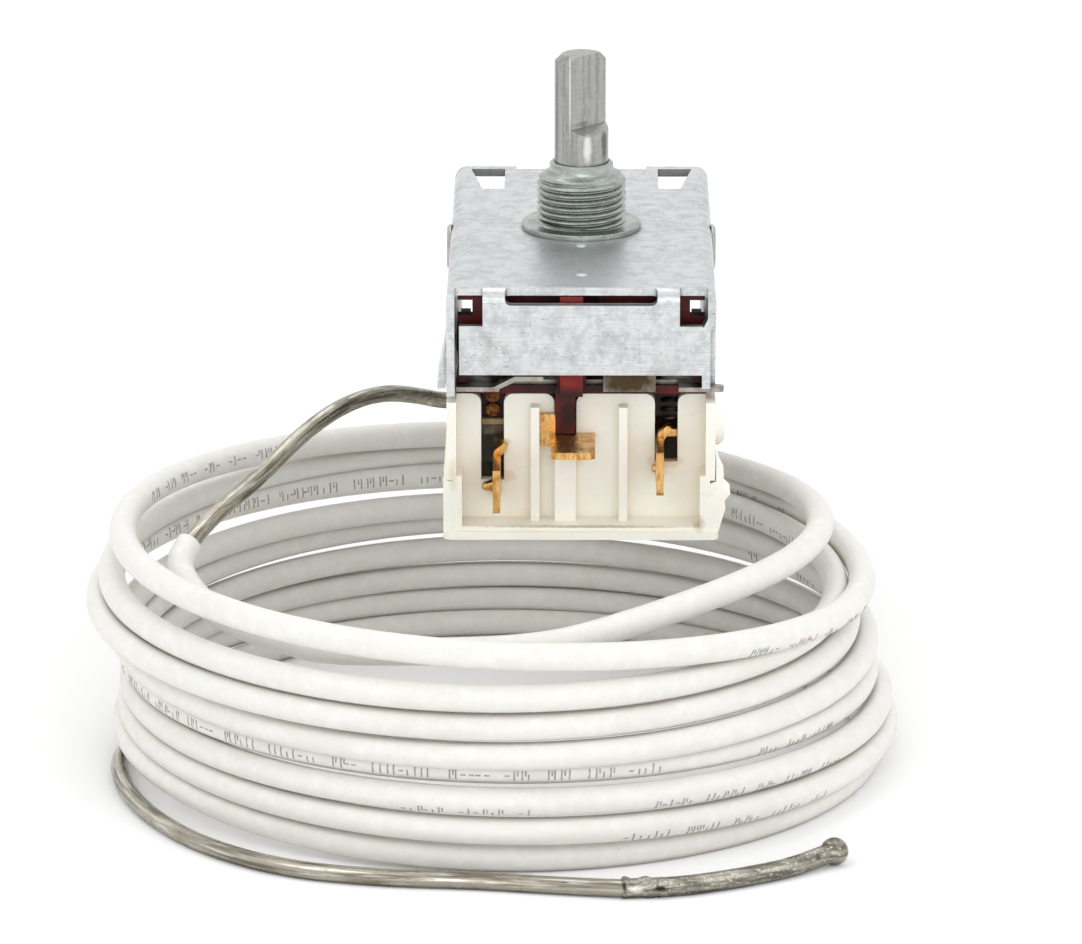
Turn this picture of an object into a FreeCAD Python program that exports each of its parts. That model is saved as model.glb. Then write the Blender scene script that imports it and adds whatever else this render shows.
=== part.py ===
"""Capillary thermostat: a folded steel frame with a panel bush and spindle, a white
terminal housing, the switch mechanism inside, and a remote bulb on a sleeved capillary.

Millimetres. The origin is on the bush axis at the top face of its flange, which seats
against the panel. +Z runs up along the spindle, and the terminals point to -Y.
"""
import FreeCAD, Part
import math
import os

from FreeCAD import Vector

# Clearances
running_fit = 0.05
seat_gap = 0.3
slip_gap = 0.1

# Frame bracket
frame_width = 29.2
frame_depth = 54.4
frame_sheet = 0.9
side_wall_height = 11.9
outer_bend = 1.4
inner_bend = 0.5
flap_height = 9.5
flap_inset = 1.4
flap_neck_inset = 3.95
flap_neck_height = 4.0
fold_slot_width = 16.5
fold_slot_height = 1.7
fold_cut_depth = 1.3
fold_slot_radius = 0.7
rear_flap_width = 15.0
rear_flap_height = 7.5
rear_window_width = 3.9
rear_window_front_width = 2.5
rear_window_depth = 9.1
rear_window_inner = 8.8
rear_window_edge = 1.25
dimple_radius = 0.65
dimple_depth = 0.25
dimple_front_y = -20.8
dimple_flange_y = -8.6
joggle_depth = 3.0
joggle_step = 0.6
joggle_top = 3.2
tab_width = 9.0
tab_height = 5.9
tab_flare = 1.1
leg_depth = 12.0
leg_foot_reach = 4.2

# Threaded bush and spindle
flange_diameter = 13.3
flange_thickness = 0.6
thread_diameter = 10.0
thread_length = 5.1
thread_lead_in = 0.4
collar_diameter = 7.1
collar_height = 1.5
collar_chamfer = 0.2
spigot_diameter = 8.0
rivet_lip = 0.7
rivet_lip_height = 0.6
spindle_diameter = 6.0
spindle_reach = 19.2
spindle_chamfer = 0.8
flat_length = 9.1
flat_offset = 1.0
flat_direction = -44.0
seat_diameter = 5.0
pilot_diameter = 3.0

# Range cam, follower and range adjustment
cam_thickness = 2.4
cam_base_radius = 4.6
cam_rise = 1.4
cam_turn = 205.0
cam_dwell = 12.0
ring_thickness = 0.4
ring_diameter = 7.2
ring_groove = 0.35
bridge_sheet = 0.8
bridge_width = 6.0
bridge_margin = 3.6
bridge_foot = 1.6
follower_sheet = 1.6
follower_bar = 3.2
follower_pin_diameter = 3.0
follower_pin_shoulder = 0.7
pin_boss_wall = 1.1
pin_boss_height = 1.9
follower_pivot_x = -7.9
follower_pivot_y = -11.5
nose_width = 3.2
range_screw_diameter = 2.0
range_screw_length = 7.1
range_head_diameter = 3.6
range_head_height = 1.9
range_axis_x = 7.5
range_axis_z = -10.3
range_nut_length = 3.4
driver_slot = 0.7
spring_wire = 0.5
range_spring_turns = 5

# Main lever
lever_sheet = 0.9
lever_top = -7.3
lever_pivot_y = 3.0
lever_pivot_z = -3.8
ear_width = 6.4
ear_gap = 1.2
ear_top_gap = 0.7
stud_diameter = 2.6
stud_head_diameter = 5.2
stud_head_height = 0.45
tongue_width = 9.0
front_arm_width = 8.6
front_arm_shift = -0.5
front_arm_reach = 16.0
hook_width = 3.0
hook_hole = 1.6
lever_travel = 3.0
pusher_diameter = 3.0
pusher_y = -14.0
pusher_rivet_diameter = 1.8
pusher_head_height = 0.5
stop_screw_diameter = 2.4
stop_screw_x = 2.5
stop_screw_y = -9.0
stop_head_height = 0.8

# Switch base
base_floor = 0.9
base_floor_setback = 4.0
base_wall = 1.4
base_side_wall = 1.1
base_side_height = 3.4
base_setback = 3.1
base_rib_width = 2.5
base_rib_shift = -1.05
base_rib_proud = 2.0
base_key_width = 3.2
base_gate_height = 1.6
base_window_height = 1.7
base_window_drop = 0.9
base_window_width = 1.6
base_pocket_width = 1.7
base_pocket_depth = 0.9

# Retaining strip
strip_sheet = 0.5
strip_depth = 6.0
strip_ear_width = 4.7
strip_ear_reach = 1.6
strip_right_ear_width = 2.5
strip_right_reach = 0.9
strip_tab_left = 2.4
strip_tab_width = 5.7
strip_tab_height = 1.7
strip_finger_rise = 1.2
strip_finger_slope = 1.9
strip_finger_length = 2.9

# Terminal housing and bottom cover
housing_top = -13.3
housing_height = 14.7
housing_depth = 24.0
rim_setback = 0.2
bay_depth = 3.7
bay_floor = 0.7
bay_wall = 1.05
bay_lower_step = 0.6
bay_step_height = 5.75
panel_thickness = 1.2
chamber_wall = 1.2
chamber_floor = 1.2
skirt_step = 0.55
side_slot_width = 2.5
left_slot_inset = 4.95
left_slot_depth = 9.8
centre_slot_width = 2.4
centre_slot_centre = -1.7
centre_slot_depth = 6.0
right_slot_inset = 5.3
right_slot_depth = 7.7
panel_corner = 1.1
rib_width = 0.95
rib_proud = 1.7
left_rib_centre = -5.0
right_rib_centre = 4.6
block_width = 2.3
block_height = 7.9
nub_diameter = 4.2
nub_reach = 1.4
nub_y = -10.0
nub_z = -20.9
cover_sheet = 0.65
cover_skirt = 0.95
cover_skirt_height = 6.5
cover_lip_height = 0.85
cover_lip = 0.6
cover_corner = 0.9

# Terminals and contacts
blade_width = 4.8
blade_thickness = 0.8
blade_reach = 7.7
blade_bevel = 0.5
left_blade_shift = 0.5
left_blade_bottom = -24.7
right_blade_shift = -0.74
right_blade_bottom = -22.65
centre_blade_x = -0.87
centre_blade_top = -17.7
centre_plate_left = -4.5
centre_plate_width = 1.7
centre_plate_top = -15.4
ear_curl = 1.3
carrier_shift = 3.35
leaf_thickness = 0.3
leaf_top = -16.3
leaf_width = 3.6
leaf_setback = 3.0
leaf_overhang = 1.0
leaf_tip = 1.5
contact_y = -18.0
contact_diameter = 3.0
contact_height = 0.9
fixed_contact_height = 0.7
fixed_contact_top = -19.0
rivet_diameter = 1.5
rivet_head_height = 0.8
rivet_pitch = 1.6
pillar_width = 2.4
pillar_drop = 3.5
pillar_front = -20.4
pillar_depth = 4.4
fibre_sheet = 0.6
clip_sheet = 0.4
toggle_wire = 0.4
toggle_mean_diameter = 2.2
toggle_turns = 4
toggle_shift = 0.6
toggle_y = -19.5

# Power element
element_y = 14.0
cup_diameter = 20.4
cup_wall = 0.6
cup_depth = 13.0
cup_corner = 1.5
cup_flange_diameter = 23.2
cup_top = -16.0
cover_thickness = 1.0
bellows_diameter = 17.6
bellows_fold = 1.9
bellows_wall = 0.35
bellows_folds = 4
bellows_height = 10.5
bellows_end = 0.3
plunger_diameter = 4.0
plunger_foot_diameter = 10.0
plunger_foot_height = 1.0
plunger_dome = 0.6
ferrule_diameter = 3.2
ferrule_length = 4.2
ferrule_z = -25.0

# Capillary, sleeve and bulb
capillary_diameter = 1.9
sleeve_diameter = 3.0
bulb_diameter = 2.1
bulb_tip_diameter = 3.0
floor_z = -55.2
coil_centre_x = -8.5
coil_centre_y = -19.6
coil_half_width = 46.0
coil_half_depth = 43.5
coil_band = 8.0
coil_foot_step = 2.6
coil_foot_height = 4.0
coil_height = 25.9

lead_points = [
    (-18.3, 13.2, -24.2),
    (-22.7, 9.6, -22.7),
    (-27.1, 4.2, -22.7),
    (-31.6, -2.0, -24.4),
    (-36.2, -9.0, -27.6),
    (-41.0, -15.4, -29.9),
]
lead_exit_run = 2.6
sleeve_mouth = (-43.2, -19.0, -31.9)
sleeve_points = [
    (-44.66, -21.39, -33.22),
    (-42.6, -27.4, -34.6),
    (-40.2, -32.4, -35.2),
    (-35.8, -38.3, -35.4),
    (-31.4, -43.9, -34.9),
    (-27.0, -49.3, -34.3),
]
tail_points = [
    (-48.6, -18.6, -53.4),
    (-50.9, -24.6, -54.1),
    (-50.4, -33.8, -54.25),
    (-46.9, -44.4, -54.25),
    (-40.6, -54.3, -54.25),
    (-31.5, -61.6, -54.25),
    (-20.9, -64.4, -54.25),
    (-10.5, -65.1, -54.25),
    (-2.0, -66.7, -54.25),
]
bulb_start = (4.7, -67.6, -54.15)
bulb_points = [
    (10.5, -67.0, -54.15),
    (16.8, -64.4, -54.15),
    (22.0, -61.4, -54.15),
]
bulb_end = (26.0, -58.4, -53.7)

# Levels and faces that follow from the sizes above
wall_outer = frame_width / 2
wall_inner = wall_outer - frame_sheet
bridge_span = wall_outer + bridge_margin
left_slot_centre = left_slot_inset - wall_outer
right_slot_centre = wall_outer - right_slot_inset
left_blade_x = left_slot_centre + left_blade_shift
right_blade_x = right_slot_centre + right_blade_shift
toggle_x = right_slot_centre + toggle_shift
carrier_left = left_slot_centre + carrier_shift
flap_width = frame_width - 2 * flap_inset
flap_neck_width = frame_width - 2 * flap_neck_inset
base_floor_width = 2 * (wall_inner - slip_gap)
base_wall_width = 2 * (wall_inner - seat_gap)
base_tongue_width = centre_slot_width - 2 * slip_gap
frame_front = -frame_depth / 2
frame_rear = frame_depth / 2
frame_top = -flange_thickness
plate_bottom = frame_top - frame_sheet
wall_foot = frame_top - side_wall_height
bush_foot = plate_bottom - rivet_lip_height
cam_top = bush_foot - seat_gap
cam_bottom = cam_top - cam_thickness
ring_top = cam_bottom - slip_gap
ring_bottom = ring_top - ring_thickness
seat_foot = ring_bottom - seat_gap
bridge_top = seat_foot - seat_gap
bridge_bottom = bridge_top - bridge_sheet
follower_top = cam_top - (cam_thickness - follower_sheet) / 2
follower_bottom = follower_top - follower_sheet
follower_front = follower_pivot_y - follower_bar / 2
nose_tip_y = -(cam_base_radius + seat_gap)
lever_bottom = lever_top - lever_sheet
ear_outer = wall_inner - ear_gap
hook_y = lever_pivot_y + ear_width / 2 + lever_sheet
floor_top = housing_top + base_floor
base_wall_top = plate_bottom - slip_gap
rim_front = frame_front + rim_setback
panel_face = rim_front + bay_depth
panel_back = panel_face + panel_thickness
housing_rear = rim_front + housing_depth
housing_bottom = housing_top - housing_height
bay_bottom = housing_bottom + bay_floor
base_front = frame_front + base_setback
base_floor_front = frame_front + base_floor_setback
cover_bottom = housing_bottom - cover_sheet
leaf_bottom = leaf_top - leaf_thickness
leaf_pivot_y = housing_rear - leaf_setback
leaf_rear = leaf_pivot_y + leaf_overhang
leaf_front = contact_y - leaf_tip
pusher_bottom = leaf_top + seat_gap
carrier_top = leaf_bottom - seat_gap
fixed_strip_top = fixed_contact_top - fixed_contact_height
cup_bottom = cup_top - cup_depth
cup_radius = cup_diameter / 2
leg_foot_top = cup_top - cup_wall
bellows_bottom = cup_top - bellows_height
ferrule_tip_x = -cup_radius - ferrule_length + cup_wall + seat_gap
coil_top = floor_z + coil_height


def box(x0, x1, y0, y1, z0, z1):
    """Block between two corners."""
    return Part.makeBox(x1 - x0, y1 - y0, z1 - z0, Vector(x0, y0, z0))


def rod(radius, start, end):
    """Round bar from one point to another."""
    a = Vector(*start)
    along = Vector(*end) - a
    return Part.makeCylinder(radius, along.Length, a, along)


def revolved(outline, x=0.0, y=0.0):
    """Solid turned about the vertical through x, y from radius and height pairs."""
    points = [Vector(r, 0, z) for r, z in outline]
    face = Part.Face(Part.makePolygon(points + [points[0]]))
    solid = face.revolve(Vector(0, 0, 0), Vector(0, 0, 1), 360)
    return solid.translated(Vector(x, y, 0))


def extruded(outline, plane, start, end):
    """Plate from an outline in the plane XY, XZ or YZ, between two levels on the third axis."""
    if plane == "XY":
        points = [Vector(a, b, start) for a, b in outline]
        travel = Vector(0, 0, end - start)
    elif plane == "XZ":
        points = [Vector(a, start, b) for a, b in outline]
        travel = Vector(0, end - start, 0)
    else:
        points = [Vector(start, a, b) for a, b in outline]
        travel = Vector(end - start, 0, 0)
    return Part.Face(Part.makePolygon(points + [points[0]])).extrude(travel)


def fused(shapes):
    """One solid from pieces that touch or overlap."""
    return shapes[0].multiFuse(shapes[1:]).removeSplitter()


def edges_along(shape, axis, test):
    """Straight edges that run along an axis and whose middle passes a test."""
    found = []
    for edge in shape.Edges:
        if not isinstance(edge.Curve, Part.Line):
            continue
        if abs(edge.tangentAt(edge.FirstParameter).dot(axis)) < 0.999:
            continue
        if test(edge.CenterOfMass):
            found.append(edge)
    return found


def rounded(shape, radius, axis, test):
    """Round the edges along an axis whose middle passes a test."""
    return shape.makeFillet(radius, edges_along(shape, axis, test))


X_AXIS = Vector(1, 0, 0)
Y_AXIS = Vector(0, 1, 0)
Z_AXIS = Vector(0, 0, 1)


def helix_spring(mean_radius, wire, length, turns):
    """Coil spring standing on the origin along +Z, of six-sided wire."""
    pitch = (length - wire) / turns
    path = Part.makeHelix(pitch, length - wire, mean_radius)
    corners = []
    for side in range(6):
        angle = math.radians(60 * side)
        corners.append(Vector(mean_radius + wire / 2 * math.cos(angle), 0, wire / 2 * math.sin(angle)))
    section = Part.makePolygon(corners + [corners[0]])
    pipe = Part.Wire(path.Edges).makePipeShell([section], True, True)
    return pipe.translated(Vector(0, 0, wire / 2))


def frame_bracket():
    """Folded sheet frame: top plate, two side walls, front flap, rear flap and element legs."""
    outer = box(-wall_outer, wall_outer, frame_front, frame_rear, wall_foot, frame_top)
    outer = rounded(outer, outer_bend, Y_AXIS, lambda c: c.z > frame_top - 0.01)
    inner = box(-wall_inner, wall_inner, frame_front, frame_rear, wall_foot, plate_bottom)
    inner = rounded(inner, inner_bend, Y_AXIS, lambda c: c.z > plate_bottom - 0.01)
    channel = outer.cut(inner)
    half_flap = flap_width / 2
    half_rear = rear_flap_width / 2
    fold = 2 * outer_bend
    channel = channel.cut(box(-half_flap, half_flap, frame_front - 1, frame_front + fold, plate_bottom, 1))
    channel = channel.cut(box(-half_rear, half_rear, frame_rear - fold, frame_rear + 1, plate_bottom, 1))
    front_flap = folded_flap(half_flap, frame_front, frame_front + frame_sheet, frame_front + fold, flap_height)
    rear_flap = folded_flap(half_rear, frame_rear, frame_rear - frame_sheet, frame_rear - fold, rear_flap_height)
    body = fused([channel, front_flap, rear_flap, element_leg(-1), element_leg(1)])
    body = body.cut(Part.makeCompound(frame_cuts()))
    return fused([body, joggled_strip(), flared_tab()])


def folded_flap(half_width, face, inner_face, plate_edge, height):
    """End flap with its rounded fold and the strip of top plate it is folded from."""
    foot = frame_top - height
    y0, y1 = sorted((face, inner_face))
    p0, p1 = sorted((face, plate_edge))
    flap = box(-half_width, half_width, y0, y1, foot, frame_top)
    strip = box(-half_width, half_width, p0, p1, plate_bottom, frame_top)
    corner = flap.fuse(strip).removeSplitter()
    return rounded(corner, outer_bend, X_AXIS,
                   lambda c: c.z > frame_top - 0.01 and abs(c.y - face) < 0.01)


def element_leg(side):
    """Leg of one side wall that drops beside the power element and folds in under its rim."""
    x0, x1 = sorted((side * wall_inner, side * wall_outer))
    y0 = element_y - leg_depth / 2
    y1 = element_y + leg_depth / 2
    foot_bottom = leg_foot_top - frame_sheet
    wall = box(x0, x1, y0, y1, foot_bottom, wall_foot + frame_sheet)
    f0, f1 = sorted((side * (wall_inner - leg_foot_reach), side * wall_outer))
    foot = box(f0, f1, y0, y1, foot_bottom, leg_foot_top)
    opening = rod(cup_radius + slip_gap, (0, element_y, foot_bottom), (0, element_y, leg_foot_top))
    leg = fused([wall, foot]).cut(opening)
    return rounded(leg, inner_bend, Y_AXIS,
                   lambda c: abs(c.x) > wall_outer - 0.01 and c.z < foot_bottom + 0.01)


def frame_cuts():
    """Openings of the frame: fold slot, corner notches, windows, bush hole and stud holes."""
    front_out = frame_front - 1
    fold_back = frame_front + fold_cut_depth
    half_slot = fold_slot_width / 2
    slot = box(-half_slot, half_slot, front_out, fold_back, frame_top - fold_slot_height, 1)
    slot = rounded(slot, fold_slot_radius, Y_AXIS, lambda c: c.z < frame_top)
    slot = rounded(slot, fold_slot_radius, Z_AXIS, lambda c: c.y > frame_front)
    cuts = [slot, plate_dimple(dimple_front_y), plate_dimple(dimple_flange_y)]
    half_neck = flap_neck_width / 2
    half_flap = flap_width / 2
    neck_foot = plate_bottom - flap_neck_height + frame_sheet
    for side in (-1, 1):
        n0, n1 = sorted((side * half_neck, side * wall_inner))
        cuts.append(box(n0, n1, front_out, fold_back, neck_foot, 1))
        cuts.append(rear_window(side))
        stud_end = side * (wall_outer + 1)
        cuts.append(rod(stud_diameter / 2, (side * (wall_inner - 1), lever_pivot_y, lever_pivot_z),
                        (stud_end, lever_pivot_y, lever_pivot_z)))
    strip_top = frame_top - joggle_top
    cuts.append(box(half_flap, wall_outer + 1, front_out, frame_front + joggle_depth, wall_foot - 1, strip_top))
    tab_front = frame_front + joggle_depth
    tab_top = wall_foot + tab_height
    cuts.append(box(-wall_outer - 1, -wall_inner + 0.01, tab_front, tab_front + tab_width,
                    wall_foot - 1, tab_top))
    cuts.append(rod(spigot_diameter / 2, (0, 0, plate_bottom - 1), (0, 0, 1)))
    return cuts


def plate_dimple(y):
    """Small punched dimple in the top plate."""
    foot = Vector(0, y, frame_top - dimple_depth)
    return Part.makeCone(dimple_radius / 2, dimple_radius * 1.5, 2 * dimple_depth, foot)


def rear_window(side):
    """Window of one rear corner, narrower towards the front."""
    rear = frame_rear - rear_window_edge
    front = rear - rear_window_depth
    outline = [
        (side * rear_window_inner, rear),
        (side * (rear_window_inner + rear_window_width), rear),
        (side * (rear_window_inner + rear_window_front_width), front),
        (side * rear_window_inner, front),
    ]
    return extruded(outline, "XY", plate_bottom - 1, 1)


def joggled_strip():
    """Front strip of the right side wall, set inwards below its joggle."""
    top = frame_top - joggle_top
    slope = joggle_step * 2
    foot = wall_foot + frame_sheet
    outline = [
        (wall_outer, top),
        (wall_outer - joggle_step, top - slope),
        (wall_outer - joggle_step, foot),
        (wall_inner - joggle_step, foot),
        (wall_inner - joggle_step, top - slope),
        (wall_inner, top),
    ]
    return extruded(outline, "XZ", frame_front, frame_front + joggle_depth - slip_gap)


def flared_tab():
    """Tab of the left side wall, bent outwards towards its foot."""
    top = wall_foot + tab_height
    outline = [
        (-wall_outer, top),
        (-wall_outer - tab_flare, wall_foot),
        (-wall_inner - tab_flare, wall_foot),
        (-wall_inner, top),
    ]
    front = frame_front + joggle_depth + slip_gap
    return extruded(outline, "XZ", front, front + tab_width - 2 * slip_gap)


def threaded_bush():
    """Turned bush: riveted spigot, panel flange, thread at its major diameter and collar."""
    bore = spindle_diameter / 2 + running_fit
    spigot = spigot_diameter / 2
    thread = thread_diameter / 2
    collar = collar_diameter / 2
    shoulder = thread_length + thread_lead_in
    collar_top = shoulder + collar_height
    return revolved([
        (bore, bush_foot),
        (spigot + rivet_lip, bush_foot),
        (spigot + rivet_lip, plate_bottom),
        (spigot, plate_bottom),
        (spigot, frame_top),
        (flange_diameter / 2, frame_top),
        (flange_diameter / 2, 0),
        (thread, 0),
        (thread, thread_length),
        (thread - thread_lead_in, shoulder),
        (collar, shoulder),
        (collar, collar_top - collar_chamfer),
        (collar - collar_chamfer, collar_top),
        (bore, collar_top),
    ])


def spindle():
    """Turned spindle with a D flat at its top, a cam seat, a ring groove and a pilot."""
    radius = spindle_diameter / 2
    seat = seat_diameter / 2
    pilot = pilot_diameter / 2
    groove = seat - ring_groove
    pilot_foot = bridge_bottom - seat_gap
    bar = revolved([
        (0, spindle_reach),
        (radius - spindle_chamfer, spindle_reach),
        (radius, spindle_reach - spindle_chamfer),
        (radius, cam_top),
        (seat, cam_top),
        (seat, cam_bottom - slip_gap / 2),
        (groove, cam_bottom - slip_gap / 2),
        (groove, ring_bottom - slip_gap / 2),
        (seat, ring_bottom - slip_gap / 2),
        (seat, seat_foot),
        (pilot, seat_foot),
        (pilot, pilot_foot),
        (0, pilot_foot),
    ])
    flat_foot = spindle_reach - flat_length
    depth = radius - flat_offset
    cutter = extruded([
        (flat_offset, flat_foot + depth / 2),
        (radius, flat_foot),
        (radius + 1, flat_foot),
        (radius + 1, spindle_reach + 1),
        (flat_offset, spindle_reach + 1),
    ], "XZ", -spindle_diameter, spindle_diameter)
    cutter.rotate(Vector(0, 0, 0), Z_AXIS, flat_direction)
    return bar.cut(cutter)


def cam_radius(turn):
    """Cam radius that meets the follower when the spindle has turned by so many degrees."""
    if turn <= cam_turn + cam_dwell:
        return cam_base_radius + cam_rise * turn / cam_turn
    first = cam_radius(-cam_dwell)
    last = cam_radius(cam_turn + cam_dwell)
    share = (turn - cam_turn - cam_dwell) / (360 - cam_turn - 2 * cam_dwell)
    return last + (first - last) * (1 - math.cos(math.pi * share)) / 2


def range_cam():
    """Plate cam with a spiral edge, pressed on the spindle's seat."""
    steps = 36
    points = []
    for step in range(steps):
        turn = -cam_dwell + step * 360 / steps
        angle = math.radians(-90 - turn)
        radius = cam_radius(turn)
        points.append(Vector(radius * math.cos(angle), radius * math.sin(angle), cam_bottom))
    edge = Part.BSplineCurve()
    edge.interpolate(Points=points, PeriodicFlag=True)
    plate = Part.Face(Part.Wire(edge.toShape())).extrude(Vector(0, 0, cam_thickness))
    return plate.cut(rod(seat_diameter / 2, (0, 0, cam_bottom - 1), (0, 0, cam_top + 1)))


def retaining_ring():
    """Open spring ring in the spindle's groove, under the cam."""
    inner = seat_diameter / 2 - ring_groove
    ring = rod(ring_diameter / 2, (0, 0, ring_bottom), (0, 0, ring_top))
    ring = ring.cut(rod(inner, (0, 0, ring_bottom - 1), (0, 0, ring_top + 1)))
    return ring.cut(box(-inner, inner, 0, ring_diameter, ring_bottom - 1, ring_top + 1))


def spindle_bridge():
    """Folded strap under the top plate that carries the spindle's pilot."""
    half = bridge_span / 2
    outline = [
        (-half - bridge_foot, plate_bottom),
        (-half + bridge_sheet, plate_bottom),
        (-half + bridge_sheet, bridge_top),
        (half - bridge_sheet, bridge_top),
        (half - bridge_sheet, plate_bottom),
        (half + bridge_foot, plate_bottom),
        (half + bridge_foot, plate_bottom - bridge_sheet),
        (half, plate_bottom - bridge_sheet),
        (half, bridge_bottom),
        (-half, bridge_bottom),
        (-half, plate_bottom - bridge_sheet),
        (-half - bridge_foot, plate_bottom - bridge_sheet),
    ]
    strap = extruded(outline, "XZ", -bridge_width / 2, bridge_width / 2)
    strap = rounded(strap, bridge_sheet / 2, Y_AXIS, lambda c: c.z < bridge_bottom + 0.01)
    return strap.cut(rod(pilot_diameter / 2 + running_fit, (0, 0, bridge_bottom - 1), (0, 0, bridge_top + 1)))


def cam_follower():
    """Follower plate: pivot eye, nose on the cam and a lug turned down for the range screw."""
    eye = (follower_pivot_x, follower_pivot_y)
    eye_radius = follower_pin_diameter / 2 + follower_bar / 2
    levels = (follower_bottom, follower_top)
    plate = [rod(eye_radius, (*eye, levels[0]), (*eye, levels[1]))]
    lug_end = range_axis_x + range_head_diameter / 2
    plate.append(box(eye[0], lug_end, follower_front, follower_front + follower_bar, *levels))
    nose_radius = nose_width / 2
    nose_centre = nose_tip_y - nose_radius
    plate.append(box(-nose_radius, nose_radius, follower_pivot_y, nose_centre, *levels))
    plate.append(rod(nose_radius, (0, nose_centre, levels[0]), (0, nose_centre, levels[1])))
    lug_foot = floor_top + 0.4
    lug_start = range_axis_x - range_head_diameter / 2
    plate.append(box(lug_start, lug_end, follower_front, follower_front + lever_sheet, lug_foot, levels[1]))
    hole = follower_pin_diameter / 2 + running_fit
    drilled = fused(plate).cut(rod(hole, (*eye, levels[0] - 1), (*eye, levels[1] + 1)))
    passage = rod(range_screw_diameter / 2 + running_fit,
                  (range_axis_x, follower_front - 1, range_axis_z),
                  (range_axis_x, follower_front + lever_sheet + 1, range_axis_z))
    return drilled.cut(passage)


def follower_pin():
    """Shouldered pin that stands in the base's boss and carries the follower."""
    radius = follower_pin_diameter / 2
    shoulder = radius + follower_pin_shoulder
    boss_top = floor_top + pin_boss_height
    shoulder_top = follower_bottom - slip_gap
    pin_top = follower_top + 2 * seat_gap
    return revolved([
        (0, floor_top),
        (radius, floor_top),
        (radius, boss_top),
        (shoulder, boss_top),
        (shoulder, shoulder_top),
        (radius, shoulder_top),
        (radius, pin_top),
        (0, pin_top),
    ], follower_pivot_x, follower_pivot_y)


def range_screw():
    """Slotted screw through the follower's lug, along the range spring."""
    head_back = follower_front
    head_front = head_back - range_head_height
    axis = (range_axis_x, range_axis_z)
    head = rod(range_head_diameter / 2, (axis[0], head_front, axis[1]), (axis[0], head_back, axis[1]))
    shank = rod(range_screw_diameter / 2, (axis[0], head_back, axis[1]),
                (axis[0], head_back + range_screw_length, axis[1]))
    half = range_head_diameter / 2 + 1
    slot = box(axis[0] - half, axis[0] + half, head_front - 1, head_front + driver_slot,
               axis[1] - driver_slot / 2, axis[1] + driver_slot / 2)
    return fused([head, shank]).cut(slot)


def range_spring_radius():
    """Mean radius of the range spring, wound on the nut."""
    return range_screw_diameter / 2 + 3 * running_fit + spring_wire


def range_nut():
    """Round nut on the range screw that carries the front turns of the spring."""
    outer = range_spring_radius() - spring_wire / 2 - running_fit
    rear = follower_front + range_screw_length - seat_gap
    front = rear - range_nut_length
    axis = (range_axis_x, range_axis_z)
    nut = rod(outer, (axis[0], front, axis[1]), (axis[0], rear, axis[1]))
    return nut.cut(rod(range_screw_diameter / 2, (axis[0], front - 1, axis[1]), (axis[0], rear + 1, axis[1])))


def range_spring():
    """Tension spring between the range nut and the lever's hook tab."""
    front = follower_front + range_screw_length - seat_gap - range_nut_length
    rear = hook_y - lever_sheet
    spring = helix_spring(range_spring_radius(), spring_wire, rear - front, range_spring_turns)
    spring.rotate(Vector(0, 0, 0), X_AXIS, -90)
    return spring.translated(Vector(range_axis_x, front, range_axis_z))


def main_lever():
    """Folded lever: two ears on the studs, a cross web, rear tongue, front arm and hook tab."""
    ear_rear = lever_pivot_y + ear_width / 2
    ear_front = lever_pivot_y - ear_width / 2
    ear_head = plate_bottom - ear_top_gap
    web_rear = hook_y
    web_front = ear_rear - lever_sheet - 2.5
    parts = [box(-ear_outer, ear_outer, web_front, web_rear, lever_bottom, lever_top)]
    for side in (-1, 1):
        x0, x1 = sorted((side * ear_outer, side * (ear_outer - lever_sheet)))
        outline = [
            (ear_front, lever_pivot_z - stud_diameter / 2),
            (ear_front + 1.5, ear_head),
            (ear_rear - 1.5, ear_head),
            (web_rear, lever_pivot_z - stud_diameter),
            (web_rear, lever_bottom),
            (web_front, lever_bottom),
        ]
        ear = extruded(outline, "YZ", x0, x1)
        hole = rod(stud_diameter / 2 + running_fit, (x0 - 1, lever_pivot_y, lever_pivot_z),
                   (x1 + 1, lever_pivot_y, lever_pivot_z))
        parts.append(ear.cut(hole))
    half_tongue = tongue_width / 2
    tongue_end = element_y + plunger_diameter
    parts.append(box(-half_tongue, half_tongue, web_rear - 0.5, tongue_end, lever_bottom, lever_top))
    arm_left = front_arm_shift - front_arm_width / 2
    arm_right = front_arm_shift + front_arm_width / 2
    parts.append(box(arm_left, arm_right, -front_arm_reach, web_front + 0.5, lever_bottom, lever_top))
    hook_foot = range_axis_z - hook_hole
    parts.append(box(range_axis_x - hook_width / 2, range_axis_x + hook_width / 2,
                     hook_y - lever_sheet, hook_y, hook_foot, lever_top))
    lever = fused(parts)
    hook = rod(hook_hole / 2, (range_axis_x, hook_y - 2, range_axis_z), (range_axis_x, hook_y + 1, range_axis_z))
    rivet = rod(pusher_rivet_diameter / 2, (front_arm_shift, pusher_y, lever_bottom - 1),
                (front_arm_shift, pusher_y, lever_top + 1))
    return lever.cut(hook).cut(rivet)


def insulating_pusher():
    """Moulded pin riveted in the lever's front arm, which presses on the contact leaf."""
    radius = pusher_diameter / 2
    rivet = pusher_rivet_diameter / 2
    head_top = lever_top + pusher_head_height
    return revolved([
        (0, pusher_bottom),
        (radius - 0.4, pusher_bottom),
        (radius, pusher_bottom + 0.4),
        (radius, lever_bottom),
        (rivet, lever_bottom),
        (rivet, lever_top),
        (radius, lever_top),
        (radius - pusher_head_height, head_top),
        (0, head_top),
    ], front_arm_shift, pusher_y)


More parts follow.
